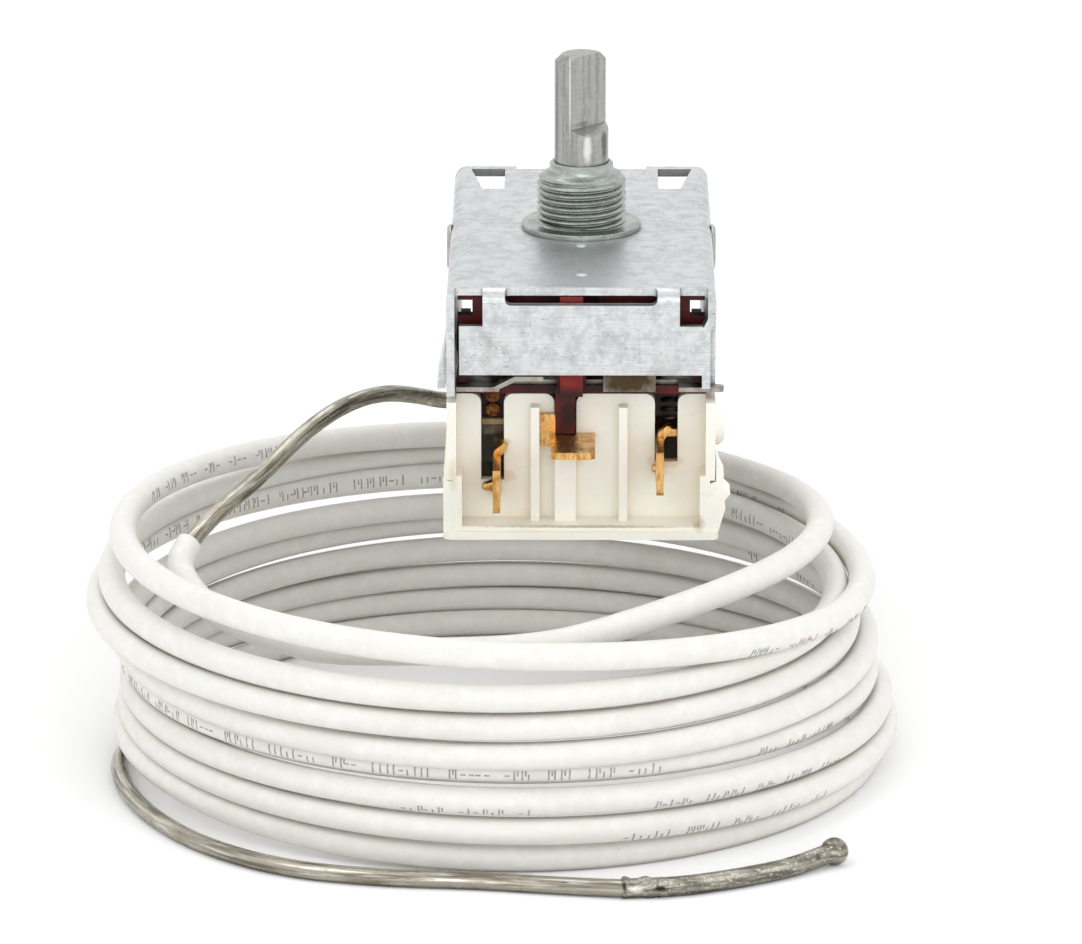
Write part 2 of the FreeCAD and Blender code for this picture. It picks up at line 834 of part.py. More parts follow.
def pivot_studs():
    """Two headed studs riveted in the side walls, which carry the lever's ears."""
    studs = []
    for side in (-1, 1):
        inner = side * (ear_outer - lever_sheet - slip_gap - frame_sheet / 2)
        face = side * (ear_outer - lever_sheet - slip_gap)
        ends = [(side * wall_outer, stud_diameter / 2), (face, stud_diameter / 2)]
        start = (inner, lever_pivot_y, lever_pivot_z)
        shank = rod(ends[0][1], start, (ends[0][0], lever_pivot_y, lever_pivot_z))
        inner_head = rod(stud_diameter * 0.75, start, (face, lever_pivot_y, lever_pivot_z))
        outer_head = rod(stud_head_diameter / 2, (side * wall_outer, lever_pivot_y, lever_pivot_z),
                         (side * (wall_outer + stud_head_height), lever_pivot_y, lever_pivot_z))
        rim = wall_outer + stud_head_height
        outer_head = outer_head.makeChamfer(stud_head_height * 0.7, [
            edge for edge in outer_head.Edges
            if abs(abs(edge.CenterOfMass.x) - rim) < 0.01 and edge.isClosed()])
        studs.append(fused([shank, inner_head, outer_head]))
    return Part.makeCompound(studs)


def stop_screw():
    """Screw in the base's floor whose head stops the lever's front arm."""
    radius = stop_screw_diameter / 2
    drop = (lever_pivot_y - stop_screw_y + radius) * math.sin(math.radians(lever_travel))
    head_top = lever_bottom - drop - slip_gap
    head_foot = head_top - stop_head_height
    head = radius + 0.4
    return revolved([
        (0, housing_top),
        (radius, housing_top),
        (radius, head_foot),
        (head, head_foot),
        (head, head_top),
        (0, head_top),
    ], stop_screw_x, stop_screw_y)


def switch_base():
    """Moulded base: floor, front wall with its gates and windows, rib, side walls, boss and pillar."""
    half_floor = base_floor_width / 2
    half_wall = base_wall_width / 2
    base_rear = housing_rear - 1
    wall_back = base_front + base_wall
    side_top = floor_top + base_side_height
    parts = [
        box(-half_floor, half_floor, base_floor_front, base_rear, housing_top, floor_top),
        box(-half_wall, half_wall, base_front, wall_back, floor_top, base_wall_top),
    ]
    for side in (-1, 1):
        x0, x1 = sorted((side * half_wall, side * (half_wall - base_side_wall)))
        parts.append(box(x0, x1, wall_back, base_rear, floor_top, side_top))
    boss_radius = follower_pin_diameter / 2 + pin_boss_wall
    pivot = (follower_pivot_x, follower_pivot_y)
    parts.append(rod(boss_radius, (*pivot, floor_top), (*pivot, floor_top + pin_boss_height)))
    pillar_x = left_slot_centre - pillar_width / 2
    parts.append(box(pillar_x, pillar_x + pillar_width, pillar_front, pillar_front + pillar_depth,
                     housing_top - pillar_drop, housing_top))
    cuts = base_wall_cuts(half_wall, wall_back) + base_floor_cuts(wall_back)
    return fused([fused(parts).cut(Part.makeCompound(cuts))] + base_rib())


def base_rib():
    """Rib in front of the wall, and the tongue that drops into the housing's centre slot."""
    rib_left = base_rib_shift - base_rib_width / 2
    rib = box(rib_left, rib_left + base_rib_width, base_front - base_rib_proud, base_front,
              housing_top + base_floor / 2, base_wall_top)
    tongue_left = centre_slot_centre - base_tongue_width / 2
    tongue = box(tongue_left, tongue_left + base_tongue_width, base_front, panel_back - slip_gap,
                 centre_blade_top + slip_gap, floor_top)
    return [rib, tongue]


def base_wall_cuts(half_wall, wall_back):
    """Gates over the floor, windows at the corners and a pocket beside the rib."""
    gate_top = floor_top + base_gate_height
    key_left = base_rib_shift - base_key_width / 2
    key_right = base_rib_shift + base_key_width / 2
    gate_end = half_wall - base_side_wall
    cuts = [
        box(-gate_end, key_left, base_front - 1, wall_back, floor_top, gate_top),
        box(key_right, gate_end, base_front - 1, wall_back, floor_top, gate_top),
    ]
    window_top = base_wall_top - base_window_drop
    for side in (-1, 1):
        x0, x1 = sorted((side * (half_wall - base_window_width), side * (half_wall + 1)))
        cuts.append(box(x0, x1, base_front - 1, wall_back + 0.01, window_top - base_window_height, window_top))
    rib_right = base_rib_shift + base_rib_width / 2
    cuts.append(box(rib_right, rib_right + base_pocket_width, base_front - 1, base_front + base_pocket_depth,
                    gate_top + 1, base_wall_top + 1))
    return cuts


def base_floor_cuts(wall_back):
    """Room for the retaining strip, the follower pin, the pusher and the stop screw."""
    strip_rear = base_front + strip_depth + slip_gap
    strip_ceiling = floor_top + strip_sheet + slip_gap
    far = frame_width
    pusher_radius = pusher_diameter / 2 + slip_gap * 4
    sway = (pusher_bottom - lever_pivot_z) * math.sin(math.radians(-lever_travel))
    pivot = (follower_pivot_x, follower_pivot_y)
    x = front_arm_shift
    key_left = base_rib_shift - base_key_width / 2
    key_right = base_rib_shift + base_key_width / 2
    return [
        box(-far, key_left, base_front - 1, strip_rear, floor_top, strip_ceiling),
        box(key_right, far, base_front - 1, strip_rear, floor_top, strip_ceiling),
        box(-far, far, wall_back, strip_rear, floor_top, strip_ceiling),
        rod(follower_pin_diameter / 2, (*pivot, floor_top), (*pivot, floor_top + pin_boss_height + 1)),
        box(x - pusher_radius, x + pusher_radius, pusher_y - pusher_radius,
            pusher_y + pusher_radius + sway, housing_top - 1, floor_top + 1),
        rod(stop_screw_diameter / 2, (stop_screw_x, stop_screw_y, housing_top - 1),
            (stop_screw_x, stop_screw_y, floor_top + 1)),
    ]


def retaining_strip():
    """Flat spring strip on the base's floor, with two ears, a raised finger and an upright tab."""
    bottom = floor_top
    top = floor_top + strip_sheet
    rear = base_front + strip_depth
    web_front = base_front + base_wall + slip_gap
    ear_front = base_front - strip_ear_reach
    left = -wall_inner + slip_gap
    right = wall_outer + strip_right_reach
    joggled_inner = wall_inner - joggle_step
    right_ear = joggled_inner - strip_right_ear_width
    ear_left_end = left + strip_ear_width
    tab_left = strip_tab_left
    tab_right = strip_tab_left + strip_tab_width
    finger_top = top + strip_finger_rise
    finger = extruded([
        (ear_left_end - 0.6, bottom),
        (ear_left_end + strip_finger_slope, finger_top - strip_sheet),
        (ear_left_end + strip_finger_slope + strip_finger_length, finger_top - strip_sheet),
        (ear_left_end + strip_finger_slope + strip_finger_length, finger_top),
        (ear_left_end + strip_finger_slope - 0.2, finger_top),
        (ear_left_end - 0.6, top),
    ], "XZ", ear_front, base_front - slip_gap)
    strip = fused([
        box(left, joggled_inner - slip_gap, web_front, rear, bottom, top),
        box(left, ear_left_end, ear_front, web_front + 1, bottom, top),
        box(right_ear, joggled_inner - slip_gap, ear_front, web_front + 1, bottom, top),
        box(joggled_inner - 2, right, ear_front, frame_front + joggle_depth - slip_gap, bottom, top),
        box(tab_left, tab_right, ear_front, web_front + 1, bottom, top),
        box(tab_left, tab_right, ear_front, ear_front + strip_sheet - slip_gap, bottom,
            top + strip_tab_height - slip_gap),
        finger,
    ])
    return rounded(strip, strip_sheet, Z_AXIS, lambda c: c.x > right - 0.01)


def terminal_housing():
    """White moulding: front bay with slotted panel and ribs, and the contact chamber behind it."""
    outer = box(-wall_outer, wall_outer, rim_front, housing_rear, housing_bottom, housing_top)
    cuts = []
    bay = wall_outer - bay_wall
    step_z = bay_bottom + bay_step_height
    cuts.append(box(-bay, bay, rim_front - 1, panel_face, step_z, housing_top + 1))
    lower = bay - bay_lower_step
    cuts.append(box(-lower, lower, rim_front - 1, panel_face, bay_bottom, step_z + 0.5))
    inside = wall_outer - chamber_wall
    cuts.append(box(-inside, inside, panel_back, housing_rear - chamber_wall,
                    housing_bottom + chamber_floor, housing_top + 1))
    skirt_top = cover_bottom + cover_skirt_height
    for side in (-1, 1):
        x0, x1 = sorted((side * (wall_outer - skirt_step), side * (wall_outer + 1)))
        cuts.append(box(x0, x1, rim_front - 1, housing_rear + 1, housing_bottom - 1, skirt_top + slip_gap))
    shell = outer.cut(Part.makeCompound(cuts))
    shell = shell.cut(Part.makeCompound(panel_slots()))
    shell = rounded(shell, panel_corner, Y_AXIS, is_panel_corner)
    return fused([shell] + panel_ribs() + [side_nub(nub_diameter)])


def panel_slots():
    """The three terminal slots, open at the panel's top edge."""
    slots = []
    for centre, width, depth in (
            (left_slot_centre, side_slot_width, left_slot_depth),
            (centre_slot_centre, centre_slot_width, centre_slot_depth),
            (right_slot_centre, side_slot_width, right_slot_depth)):
        slots.append(box(centre - width / 2, centre + width / 2, panel_face - 0.5, panel_back + 0.5,
                         housing_top - depth, housing_top + 1))
    return slots


def is_panel_corner(centre):
    """True at the top corners of the panel's tongues, beside its slots."""
    on_panel = panel_face < centre.y < panel_back
    return on_panel and centre.z > housing_top - 0.01 and abs(centre.x) < wall_outer - bay_wall - 0.5


def panel_ribs():
    """Two thin ribs and one broad block on the panel's face."""
    front = panel_face - rib_proud
    ribs = []
    for centre in (left_rib_centre, right_rib_centre):
        ribs.append(box(centre - rib_width / 2, centre + rib_width / 2, front, panel_face,
                        bay_bottom, housing_top - panel_corner))
    block_left = centre_slot_centre - block_width / 2
    ribs.append(box(block_left, block_left + block_width, front, panel_face, bay_bottom,
                    bay_bottom + block_height))
    return ribs


def side_nub(diameter):
    """Domed nub on the housing's right side."""
    nub = rod(diameter / 2, (wall_outer - skirt_step, nub_y, nub_z), (wall_outer + nub_reach, nub_y, nub_z))
    tip = wall_outer + nub_reach
    return nub.makeFillet(nub_reach * 0.8, [
        edge for edge in nub.Edges if edge.isClosed() and abs(edge.CenterOfMass.x - tip) < 0.01])


def bottom_cover():
    """White tray under the housing: skirts, front lip and the broken edge at the right."""
    skirt_inner = wall_outer - skirt_step
    skirt_outer = skirt_inner + cover_skirt
    front = rim_front - cover_lip
    rear = housing_rear + cover_lip
    lip_top = cover_bottom + cover_lip_height
    skirt_top = cover_bottom + cover_skirt_height
    tray = box(-skirt_outer, skirt_outer, front, rear, cover_bottom, skirt_top)
    tray = rounded(tray, cover_corner, Z_AXIS, lambda c: True)
    far = skirt_outer + 1
    cuts = [
        box(-skirt_inner, skirt_inner, rim_front, housing_rear, housing_bottom, skirt_top + 1),
        box(-far, far, front - 1, rim_front, lip_top, skirt_top + 1),
        box(skirt_inner, far, rim_front, rim_front + bay_depth, housing_bottom, skirt_top + 1),
        side_nub(nub_diameter + 2 * slip_gap),
    ]
    return fused([tray.cut(Part.makeCompound(cuts)), broken_edge(skirt_inner).cut(cuts[-1])])


def broken_edge(skirt_inner):
    """Front of the right skirt, burst outwards, with its chipped outline."""
    tall = cover_skirt_height
    wide = cover_skirt
    gap = skirt_step + slip_gap
    chips = [
        (1.37, 0.32), (1.79, 0.52), (1.58, 0.65), (2.32, 0.78), (1.47, 0.91), (1.58, 1.11), (1.05, 1.28),
    ]
    outline = [(skirt_inner, cover_bottom + cover_sheet), (skirt_inner + wide * 0.8, cover_bottom)]
    for reach, height in chips:
        outline.append((skirt_inner + wide * reach, cover_bottom + tall * height))
    outline.append((skirt_inner + gap, cover_bottom + tall * 1.42))
    outline.append((skirt_inner + gap, cover_bottom + tall))
    outline.append((skirt_inner, cover_bottom + tall - seat_gap))
    return extruded(outline, "XZ", rim_front, rim_front + bay_depth)


def bevelled_blade(x0, x1, z0, z1, root):
    """Flat terminal blade towards -Y with a bevelled tip."""
    tip = root - blade_reach
    blade = box(x0, x1, tip, root, z0, z1)
    edges = [edge for edge in blade.Edges if abs(edge.CenterOfMass.y - tip) < 0.01]
    corners = [edge for edge in edges if abs(edge.Length - min(x1 - x0, z1 - z0)) < 0.01]
    return blade.makeChamfer(blade_bevel, corners)


def terminal_left():
    """Upright left blade, its root in the chamber and the strip that holds the fixed contact."""
    x0 = left_blade_x - blade_thickness / 2
    x1 = left_blade_x + blade_thickness / 2
    root_bottom = housing_top - left_slot_depth + slip_gap
    strip_bottom = fixed_strip_top - blade_thickness
    blade = bevelled_blade(x0, x1, left_blade_bottom, left_blade_bottom + blade_width, panel_face - slip_gap)
    root_rear = contact_y + contact_diameter
    root = box(x0, x1, panel_face - 1, root_rear, root_bottom, fixed_strip_top)
    strip = box(x0, front_arm_shift + contact_diameter / 2, contact_y - contact_diameter / 2,
                contact_y + contact_diameter / 2, strip_bottom, fixed_strip_top)
    curl = curled_ear(x1 - blade_thickness * 0.6, left_blade_bottom + blade_width)
    return fused([blade, root, strip, curl])


def curled_ear(x, z):
    """Small locking ear that leans out of a blade's upper edge, in front of the panel."""
    outline = [
        (x - blade_thickness / 2, z - 0.6),
        (x - blade_thickness / 4, z + 0.5),
        (x + ear_curl * 0.6, z + ear_curl),
        (x + ear_curl, z + ear_curl * 0.7),
        (x + blade_thickness * 0.6, z - 0.2),
        (x + blade_thickness / 2, z - 0.6),
    ]
    return extruded(outline, "XZ", panel_face - 1.3, panel_face - slip_gap)


def terminal_right():
    """Upright right blade, its root in the chamber and the shelf under the toggle spring."""
    x0 = right_blade_x - blade_thickness / 2
    x1 = right_blade_x + blade_thickness / 2
    top = right_blade_bottom + blade_width
    root_bottom = housing_top - right_slot_depth + slip_gap
    blade = bevelled_blade(x0, x1, right_blade_bottom, top, panel_face - slip_gap)
    root = box(x0, x1, panel_face - 1, toggle_y + 3, root_bottom, top)
    shelf = box(x0, wall_outer - chamber_wall - seat_gap, toggle_y - 2, toggle_y + 2,
                top - blade_thickness, top)
    curl = curled_ear(x1 - blade_thickness * 0.4, top)
    return fused([blade, root, shelf, curl])


def terminal_centre():
    """Flat centre blade, its upright plate and the carrier of the contact leaf."""
    top = centre_blade_top
    bottom = top - blade_thickness
    half = blade_width / 2
    blade = bevelled_blade(centre_blade_x - half, centre_blade_x + half, bottom, top, panel_face - slip_gap)
    plate = box(centre_plate_left, centre_plate_left + centre_plate_width,
                panel_face - slip_gap - blade_thickness, panel_face - slip_gap,
                bottom - 0.5, centre_plate_top)
    slot_left = centre_slot_centre - centre_slot_width / 2 + slip_gap
    slot_right = centre_slot_centre + centre_slot_width / 2 - slip_gap
    post_front = panel_back + slip_gap
    post_rear = post_front + blade_thickness
    carrier_foot = carrier_top - blade_thickness
    carrier_right = carrier_left + blade_thickness
    leaf_right = front_arm_shift + leaf_width / 2
    seat_front = leaf_pivot_y - 1.4
    parts = [
        blade,
        plate,
        box(slot_left, slot_right, panel_face - 1, post_rear, bottom, top),
        box(carrier_left, slot_right, post_front, post_rear, bottom - 0.5, carrier_top),
        box(carrier_left, carrier_right, post_front, leaf_rear, bottom - 0.5, carrier_top),
        box(carrier_left, leaf_right, seat_front, leaf_rear, carrier_foot, carrier_top),
    ]
    return fused(parts)


def contact_leaf():
    """Spring leaf that carries the moving contact."""
    half = leaf_width / 2
    x = front_arm_shift
    leaf = box(x - half, x + half, leaf_front, leaf_rear, leaf_bottom, leaf_top)
    return leaf.cut(rod(contact_diameter / 4, (x, contact_y, leaf_bottom - 1), (x, contact_y, leaf_top + 1)))


def moving_contact():
    """Contact rivet in the leaf."""
    radius = contact_diameter / 2
    neck = contact_diameter / 4
    bottom = leaf_bottom - contact_height
    return revolved([
        (0, bottom),
        (radius - 0.3, bottom),
        (radius, bottom + 0.3),
        (radius, leaf_bottom),
        (neck, leaf_bottom),
        (neck, leaf_top),
        (neck + 0.4, leaf_top),
        (neck + 0.4, leaf_top + slip_gap),
        (0, leaf_top + slip_gap),
    ], front_arm_shift, contact_y)


def fixed_contact():
    """Contact button on the left terminal's strip."""
    radius = contact_diameter / 2
    return revolved([
        (0, fixed_strip_top),
        (radius, fixed_strip_top),
        (radius, fixed_contact_top - 0.25),
        (radius - 0.3, fixed_contact_top),
        (0, fixed_contact_top),
    ], front_arm_shift, contact_y)


def contact_rivets():
    """Two copper rivet heads on the front of the base's pillar."""
    heads = []
    for row in range(2):
        z = housing_top - rivet_diameter / 2 - slip_gap - row * rivet_pitch
        heads.append(rod(rivet_diameter / 2, (left_slot_centre, pillar_front - rivet_head_height, z),
                         (left_slot_centre, pillar_front, z)))
    return Part.makeCompound(heads)


def insulating_strip():
    """Fibre strip under the base's pillar."""
    top = housing_top - pillar_drop
    return box(left_slot_centre - pillar_width / 2, left_slot_centre + pillar_width / 2,
               pillar_front - rivet_head_height, pillar_front + pillar_depth, top - fibre_sheet, top)


def contact_clip():
    """Folded clip between the fibre strip and the left terminal's root."""
    top = housing_top - pillar_drop - fibre_sheet
    half = pillar_width / 2 - slip_gap
    rear = pillar_front + pillar_depth - 1
    return fused([
        box(left_slot_centre - half, left_slot_centre + half, pillar_front, rear, top - clip_sheet, top),
        box(left_slot_centre - half, left_slot_centre + half, rear - clip_sheet, rear, fixed_strip_top, top),
    ])


def toggle_spring():
    """Small coil spring that stands on the right terminal's shelf."""
    foot = right_blade_bottom + blade_width
    spring = helix_spring(toggle_mean_diameter / 2, toggle_wire, housing_top - foot, toggle_turns)
    return spring.translated(Vector(toggle_x, toggle_y, foot))


def bellows_cup():
    """Drawn cup of the power element, with the hole for its ferrule."""
    inner = cup_radius - cup_wall
    cup = revolved([
        (0, cup_bottom),
        (cup_radius - cup_corner, cup_bottom),
        (cup_radius, cup_bottom + cup_corner),
        (cup_radius, leg_foot_top),
        (cup_flange_diameter / 2, leg_foot_top),
        (cup_flange_diameter / 2, cup_top),
        (inner, cup_top),
        (inner, cup_bottom + cup_corner),
        (inner - cup_corner + cup_wall, cup_bottom + cup_wall),
        (0, cup_bottom + cup_wall),
    ], 0, element_y)
    return cup.cut(rod(ferrule_diameter / 2, (ferrule_tip_x - 1, element_y, ferrule_z), (0, element_y, ferrule_z)))


def element_cover():
    """Ring plate welded on the cup's flange, which guides the plunger."""
    top = cup_top + cover_thickness
    plate = rod(cup_flange_diameter / 2, (0, element_y, cup_top), (0, element_y, top))
    return plate.cut(rod(plunger_diameter / 2 + running_fit, (0, element_y, cup_top - 1), (0, element_y, top + 1)))


def bellows():
    """Corrugated bellows under the cover, closed at its lower end."""
    crest = bellows_diameter / 2
    root = crest - bellows_fold
    span = bellows_height - bellows_end
    pitch = span / bellows_folds
    outer = []
    for fold in range(bellows_folds):
        start = cup_top - fold * pitch
        outer.append((root, start))
        outer.append((crest, start - pitch / 2))
    outer.append((root, cup_top - span))
    inner = [(radius - bellows_wall, z) for radius, z in reversed(outer)]
    outline = outer + [(root, bellows_bottom), (0, bellows_bottom), (0, cup_top - span)] + inner
    return revolved(outline, 0, element_y)


def plunger():
    """Plunger from the bellows' closed end up to the lever's tongue."""
    radius = plunger_diameter / 2
    foot = bellows_bottom + bellows_end
    foot_top = foot + plunger_foot_height
    tip = lever_bottom - seat_gap
    return revolved([
        (0, foot),
        (plunger_foot_diameter / 2, foot),
        (plunger_foot_diameter / 2, foot_top),
        (radius, foot_top),
        (radius, tip - plunger_dome),
        (radius - plunger_dome, tip),
        (0, tip),
    ], 0, element_y)


def capillary_ferrule():
    """Short brazed ferrule in the cup's side where the capillary enters."""
    end_x = ferrule_tip_x + ferrule_length
    return rod(ferrule_diameter / 2, (ferrule_tip_x, element_y, ferrule_z), (end_x, element_y, ferrule_z))


def tube(name, points, diameter):
    """Round cord solid: straight runs joined by tangent arcs, each as large as its runs allow."""
    path = [Vector(*point) for point in points]
    pieces = []
    radii = []
    length = 0.0
    start = path[0]
    for before, corner, after in zip(path, path[1:], path[2:]):
        back = (before - corner).normalize()
        ahead = (after - corner).normalize()
        turn = math.pi - back.getAngle(ahead)
        setback = 0.45 * min((before - corner).Length, (after - corner).Length)
        radius = setback / math.tan(turn / 2)
        arc_start = corner + back * setback
        pieces.append(Part.makeCylinder(diameter / 2, (arc_start - start).Length, start, back * -1))
        pivot = corner + (back + ahead).normalize() * (radius / math.cos(turn / 2))
        section = Part.Face(Part.Wire(Part.makeCircle(diameter / 2, arc_start, back)))
        pieces.append(section.revolve(pivot, ahead.cross(back), math.degrees(turn)))
        radii.append(round(radius, 1))
        length += (arc_start - start).Length + radius * turn
        start = corner + ahead * setback
    last = path[-1] - start
    pieces.append(Part.makeCylinder(diameter / 2, last.Length, start, last))
    length += last.Length
    solid = fused(pieces)
    expected = math.pi * diameter ** 2 / 4 * length
    print(name, "radii", radii, "length", round(length, 1), "volume share", round(solid.Volume / expected, 4))
    return solid


def sleeve_coil():
    """Closed ring of the outer shape of the wound sleeve, a little narrower at its foot."""
    foot_wide = coil_half_width - coil_foot_step
    foot_deep = coil_half_depth - coil_foot_step
    shoulder = floor_z + coil_foot_height
    wires = [
        ellipse_wire(foot_wide, foot_deep, floor_z),
        ellipse_wire(coil_half_width, coil_half_depth, shoulder),
        ellipse_wire(coil_half_width, coil_half_depth, coil_top),
    ]
    outer = Part.makeLoft(wires, True, True)
    hole_wire = ellipse_wire(coil_half_width - coil_band, coil_half_depth - coil_band, floor_z - 1)
    hole = Part.Face(hole_wire).extrude(Vector(0, 0, coil_height + 2))
    return outer.cut(hole)


def ellipse_wire(half_width, half_depth, z):
    """Closed ellipse about the coil's centre at one height."""
    centre = Vector(coil_centre_x, coil_centre_y, z)
    curve = Part.Ellipse(centre, half_width, half_depth)
    return Part.Wire(curve.toShape())


def sensing_bulb():
    """Closed end tube of the capillary with its rounded tip."""
    stem = tube("sensing_bulb", [bulb_start] + bulb_points + [bulb_end], bulb_diameter)
    return fused([stem, bulb_tip()])


def bulb_tip():
    """Rounded tip: a ball with a flat on which the bulb's tube ends."""
    radius = bulb_tip_diameter / 2
    flat = math.sqrt(radius ** 2 - (bulb_diameter / 2) ** 2)
    end = Vector(*bulb_end)
    along = (end - Vector(*bulb_points[-1])).normalize()
    ball = Part.makeSphere(radius, Vector(0, 0, 0), Z_AXIS, -90, 90, 360)
    ball = ball.cut(box(-radius, radius, -radius, radius, -radius, -flat))
    ball.Placement = FreeCAD.Placement(end + along * flat, FreeCAD.Rotation(Z_AXIS, along))
    return ball


def capillary_lead():
    """Bare capillary from its ferrule to the sleeve's mouth."""
    exit_point = (ferrule_tip_x, element_y, ferrule_z)
    straight = (ferrule_tip_x - lead_exit_run, element_y, ferrule_z)
    return tube("capillary_lead", [exit_point, straight] + lead_points + [sleeve_mouth], capillary_diameter)


def sleeve_lead():
    """Start of the sleeve, from its mouth into the coil."""
    return tube("sleeve_lead", [sleeve_mouth] + sleeve_points, sleeve_diameter)


def capillary_tail():
    """Bare capillary from the coil along the ground to the bulb."""
    return tube("capillary_tail", tail_points + [bulb_start], capillary_diameter)


def build():
    """Every piece by its node name."""
    makers = (
        frame_bracket, threaded_bush, spindle, range_cam, retaining_ring, spindle_bridge,
        cam_follower, follower_pin, range_screw, range_nut, range_spring, main_lever,
        insulating_pusher, pivot_studs, stop_screw, switch_base, retaining_strip,
        terminal_housing, bottom_cover, terminal_left, terminal_right, terminal_centre,
        contact_leaf, moving_contact, fixed_contact, contact_rivets, insulating_strip,
        contact_clip, toggle_spring, bellows_cup, element_cover, bellows, plunger,
        capillary_ferrule, capillary_lead, sleeve_lead, sleeve_coil, capillary_tail, sensing_bulb,
    )
    return {maker.__name__: maker() for maker in makers}


os.makedirs("parts", exist_ok=True)
for node, shape in build().items():
    shape.exportStep("parts/" + node + ".step")
    solids = shape.Solids
    print(node, "solids", len(solids), "valid", shape.isValid(), "volume", round(sum(s.Volume for s in solids), 2))
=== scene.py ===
"""Looks of the capillary thermostat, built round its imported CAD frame."""

import logging
import math
import random
from collections.abc import Iterator
from contextlib import contextmanager
from dataclasses import dataclass, field
from enum import Enum

import bpy
from mathutils import Matrix, Vector, noise


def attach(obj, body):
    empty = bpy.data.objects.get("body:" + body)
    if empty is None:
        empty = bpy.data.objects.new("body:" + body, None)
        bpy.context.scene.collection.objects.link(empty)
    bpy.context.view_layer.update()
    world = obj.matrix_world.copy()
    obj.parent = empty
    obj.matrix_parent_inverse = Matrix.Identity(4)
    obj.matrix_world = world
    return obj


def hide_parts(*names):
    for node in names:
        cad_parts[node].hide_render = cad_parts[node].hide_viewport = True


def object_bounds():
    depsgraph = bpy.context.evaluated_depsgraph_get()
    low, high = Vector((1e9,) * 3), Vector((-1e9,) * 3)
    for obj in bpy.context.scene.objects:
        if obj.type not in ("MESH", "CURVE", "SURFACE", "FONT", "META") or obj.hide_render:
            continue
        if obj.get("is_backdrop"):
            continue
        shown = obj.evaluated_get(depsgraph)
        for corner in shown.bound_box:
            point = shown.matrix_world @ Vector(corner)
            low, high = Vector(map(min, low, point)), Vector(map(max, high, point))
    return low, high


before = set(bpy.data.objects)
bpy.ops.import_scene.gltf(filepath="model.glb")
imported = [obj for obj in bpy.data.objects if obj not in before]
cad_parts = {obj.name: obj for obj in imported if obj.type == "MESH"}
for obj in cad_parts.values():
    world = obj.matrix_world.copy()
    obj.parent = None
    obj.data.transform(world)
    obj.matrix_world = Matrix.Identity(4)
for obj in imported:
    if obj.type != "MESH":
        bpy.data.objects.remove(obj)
FRAME_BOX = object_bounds()

LOG = logging.getLogger("thermostat")
MM = 0.001

# Octaves of every noise pattern.
NOISE_DETAIL = 3.0
# A patch's edge: the distance readings at which it starts and is full, how ragged it is, and the grain in mm.
SPOT_EDGE = (1.25, 0.6)
SPOT_RAGGED = 0.5
SPOT_GRAIN = 0.7
# Readings of open sky at which the painted corner shade and dirt start and are full, and the rays that read
# it.
CREVICE_EDGE = (0.85, 0.25)
CREVICE_RAYS = 8
# How far light runs below the surface of nylon and sleeving, in mm.
SCATTER_DEPTH = 0.8
# Distance within which two corners are one.
DOUBLES = 0.001 * MM
# Steps of a cord between two control points, and round each half of it.
CORD_STEPS = 6


# Colours and finishes


def linear(hex_colour: str) -> tuple[float, float, float, float]:
    """Turns an sRGB hex colour into linear values.

    Args:
        hex_colour: Six hex digits, with or without a leading hash.

    Returns:
        Linear red, green, blue and an alpha of one.
    """
    digits = hex_colour.lstrip("#")
    channels = []
    for start in (0, 2, 4):
        value = int(digits[start:start + 2], 16) / 255
        channels.append(value / 12.92 if value <= 0.04045 else ((value + 0.055) / 1.055) ** 2.4)
    return (channels[0], channels[1], channels[2], 1.0)


@dataclass(frozen=True)
class Layer:
    """One layer of variation in colour, gloss and relief.

    Attributes:
        size: Size of the pattern along X, Y and Z, in mm.
        colour: Colour that the pattern mixes in.
        low: Pattern value at which the layer starts.
        high: Pattern value at which the layer is full.
        amount: Share of the layer's colour where it is full.
        gloss: Change of roughness where it is full.
        relief: Height of the layer's relief, in mm.
    """

    size: tuple[float, float, float]
    colour: str = ""
    low: float = 0.45
    high: float = 0.65
    amount: float = 0.0
    gloss: float = 0.0
    relief: float = 0.0


@dataclass(frozen=True)
class Spot:
    """A soft patch of colour at one place: a stain, painted shade or a painted highlight.

    Attributes:
        centre: Its centre in the object's frame, in mm.
        reach: Its half sizes along X, Y and Z, in mm.
        colour: Its colour.
        amount: Share of its colour at the centre.
    """

    centre: tuple[float, float, float]
    reach: tuple[float, float, float]
    colour: str
    amount: float


@dataclass(frozen=True)
class Finish:
    """A real material's look.

    Attributes:
        name: Name of the real material.
        colour: Base colour.
        roughness: Roughness.
        metallic: One for bare metal.
        layers: Layers of variation.
        spots: Stains, painted shade and painted highlights.
        crevice: Colour painted into corners and gaps, as painted shade and dirt.
        crevice_reach: Width of a gap that is painted with it, in mm.
        crevice_amount: Share of that colour deep in a corner.
        ior: Index of refraction.
        specular: Specular level of a non-metal.
        wrap: Length and girth of a cord, in mm, where the pattern follows its own UV map.
        subsurface: Share of light scattered below the surface.
        bevel: Radius of softened edges, in mm.
    """

    name: str
    colour: str
    roughness: float
    metallic: float = 0.0
    layers: tuple[Layer, ...] = ()
    spots: tuple[Spot, ...] = ()
    crevice: str = ""
    crevice_reach: float = 1.0
    crevice_amount: float = 0.0
    ior: float = 1.5
    specular: float = 0.5
    wrap: tuple[float, float] | None = None
    subsurface: float = 0.0
    bevel: float = 0.0
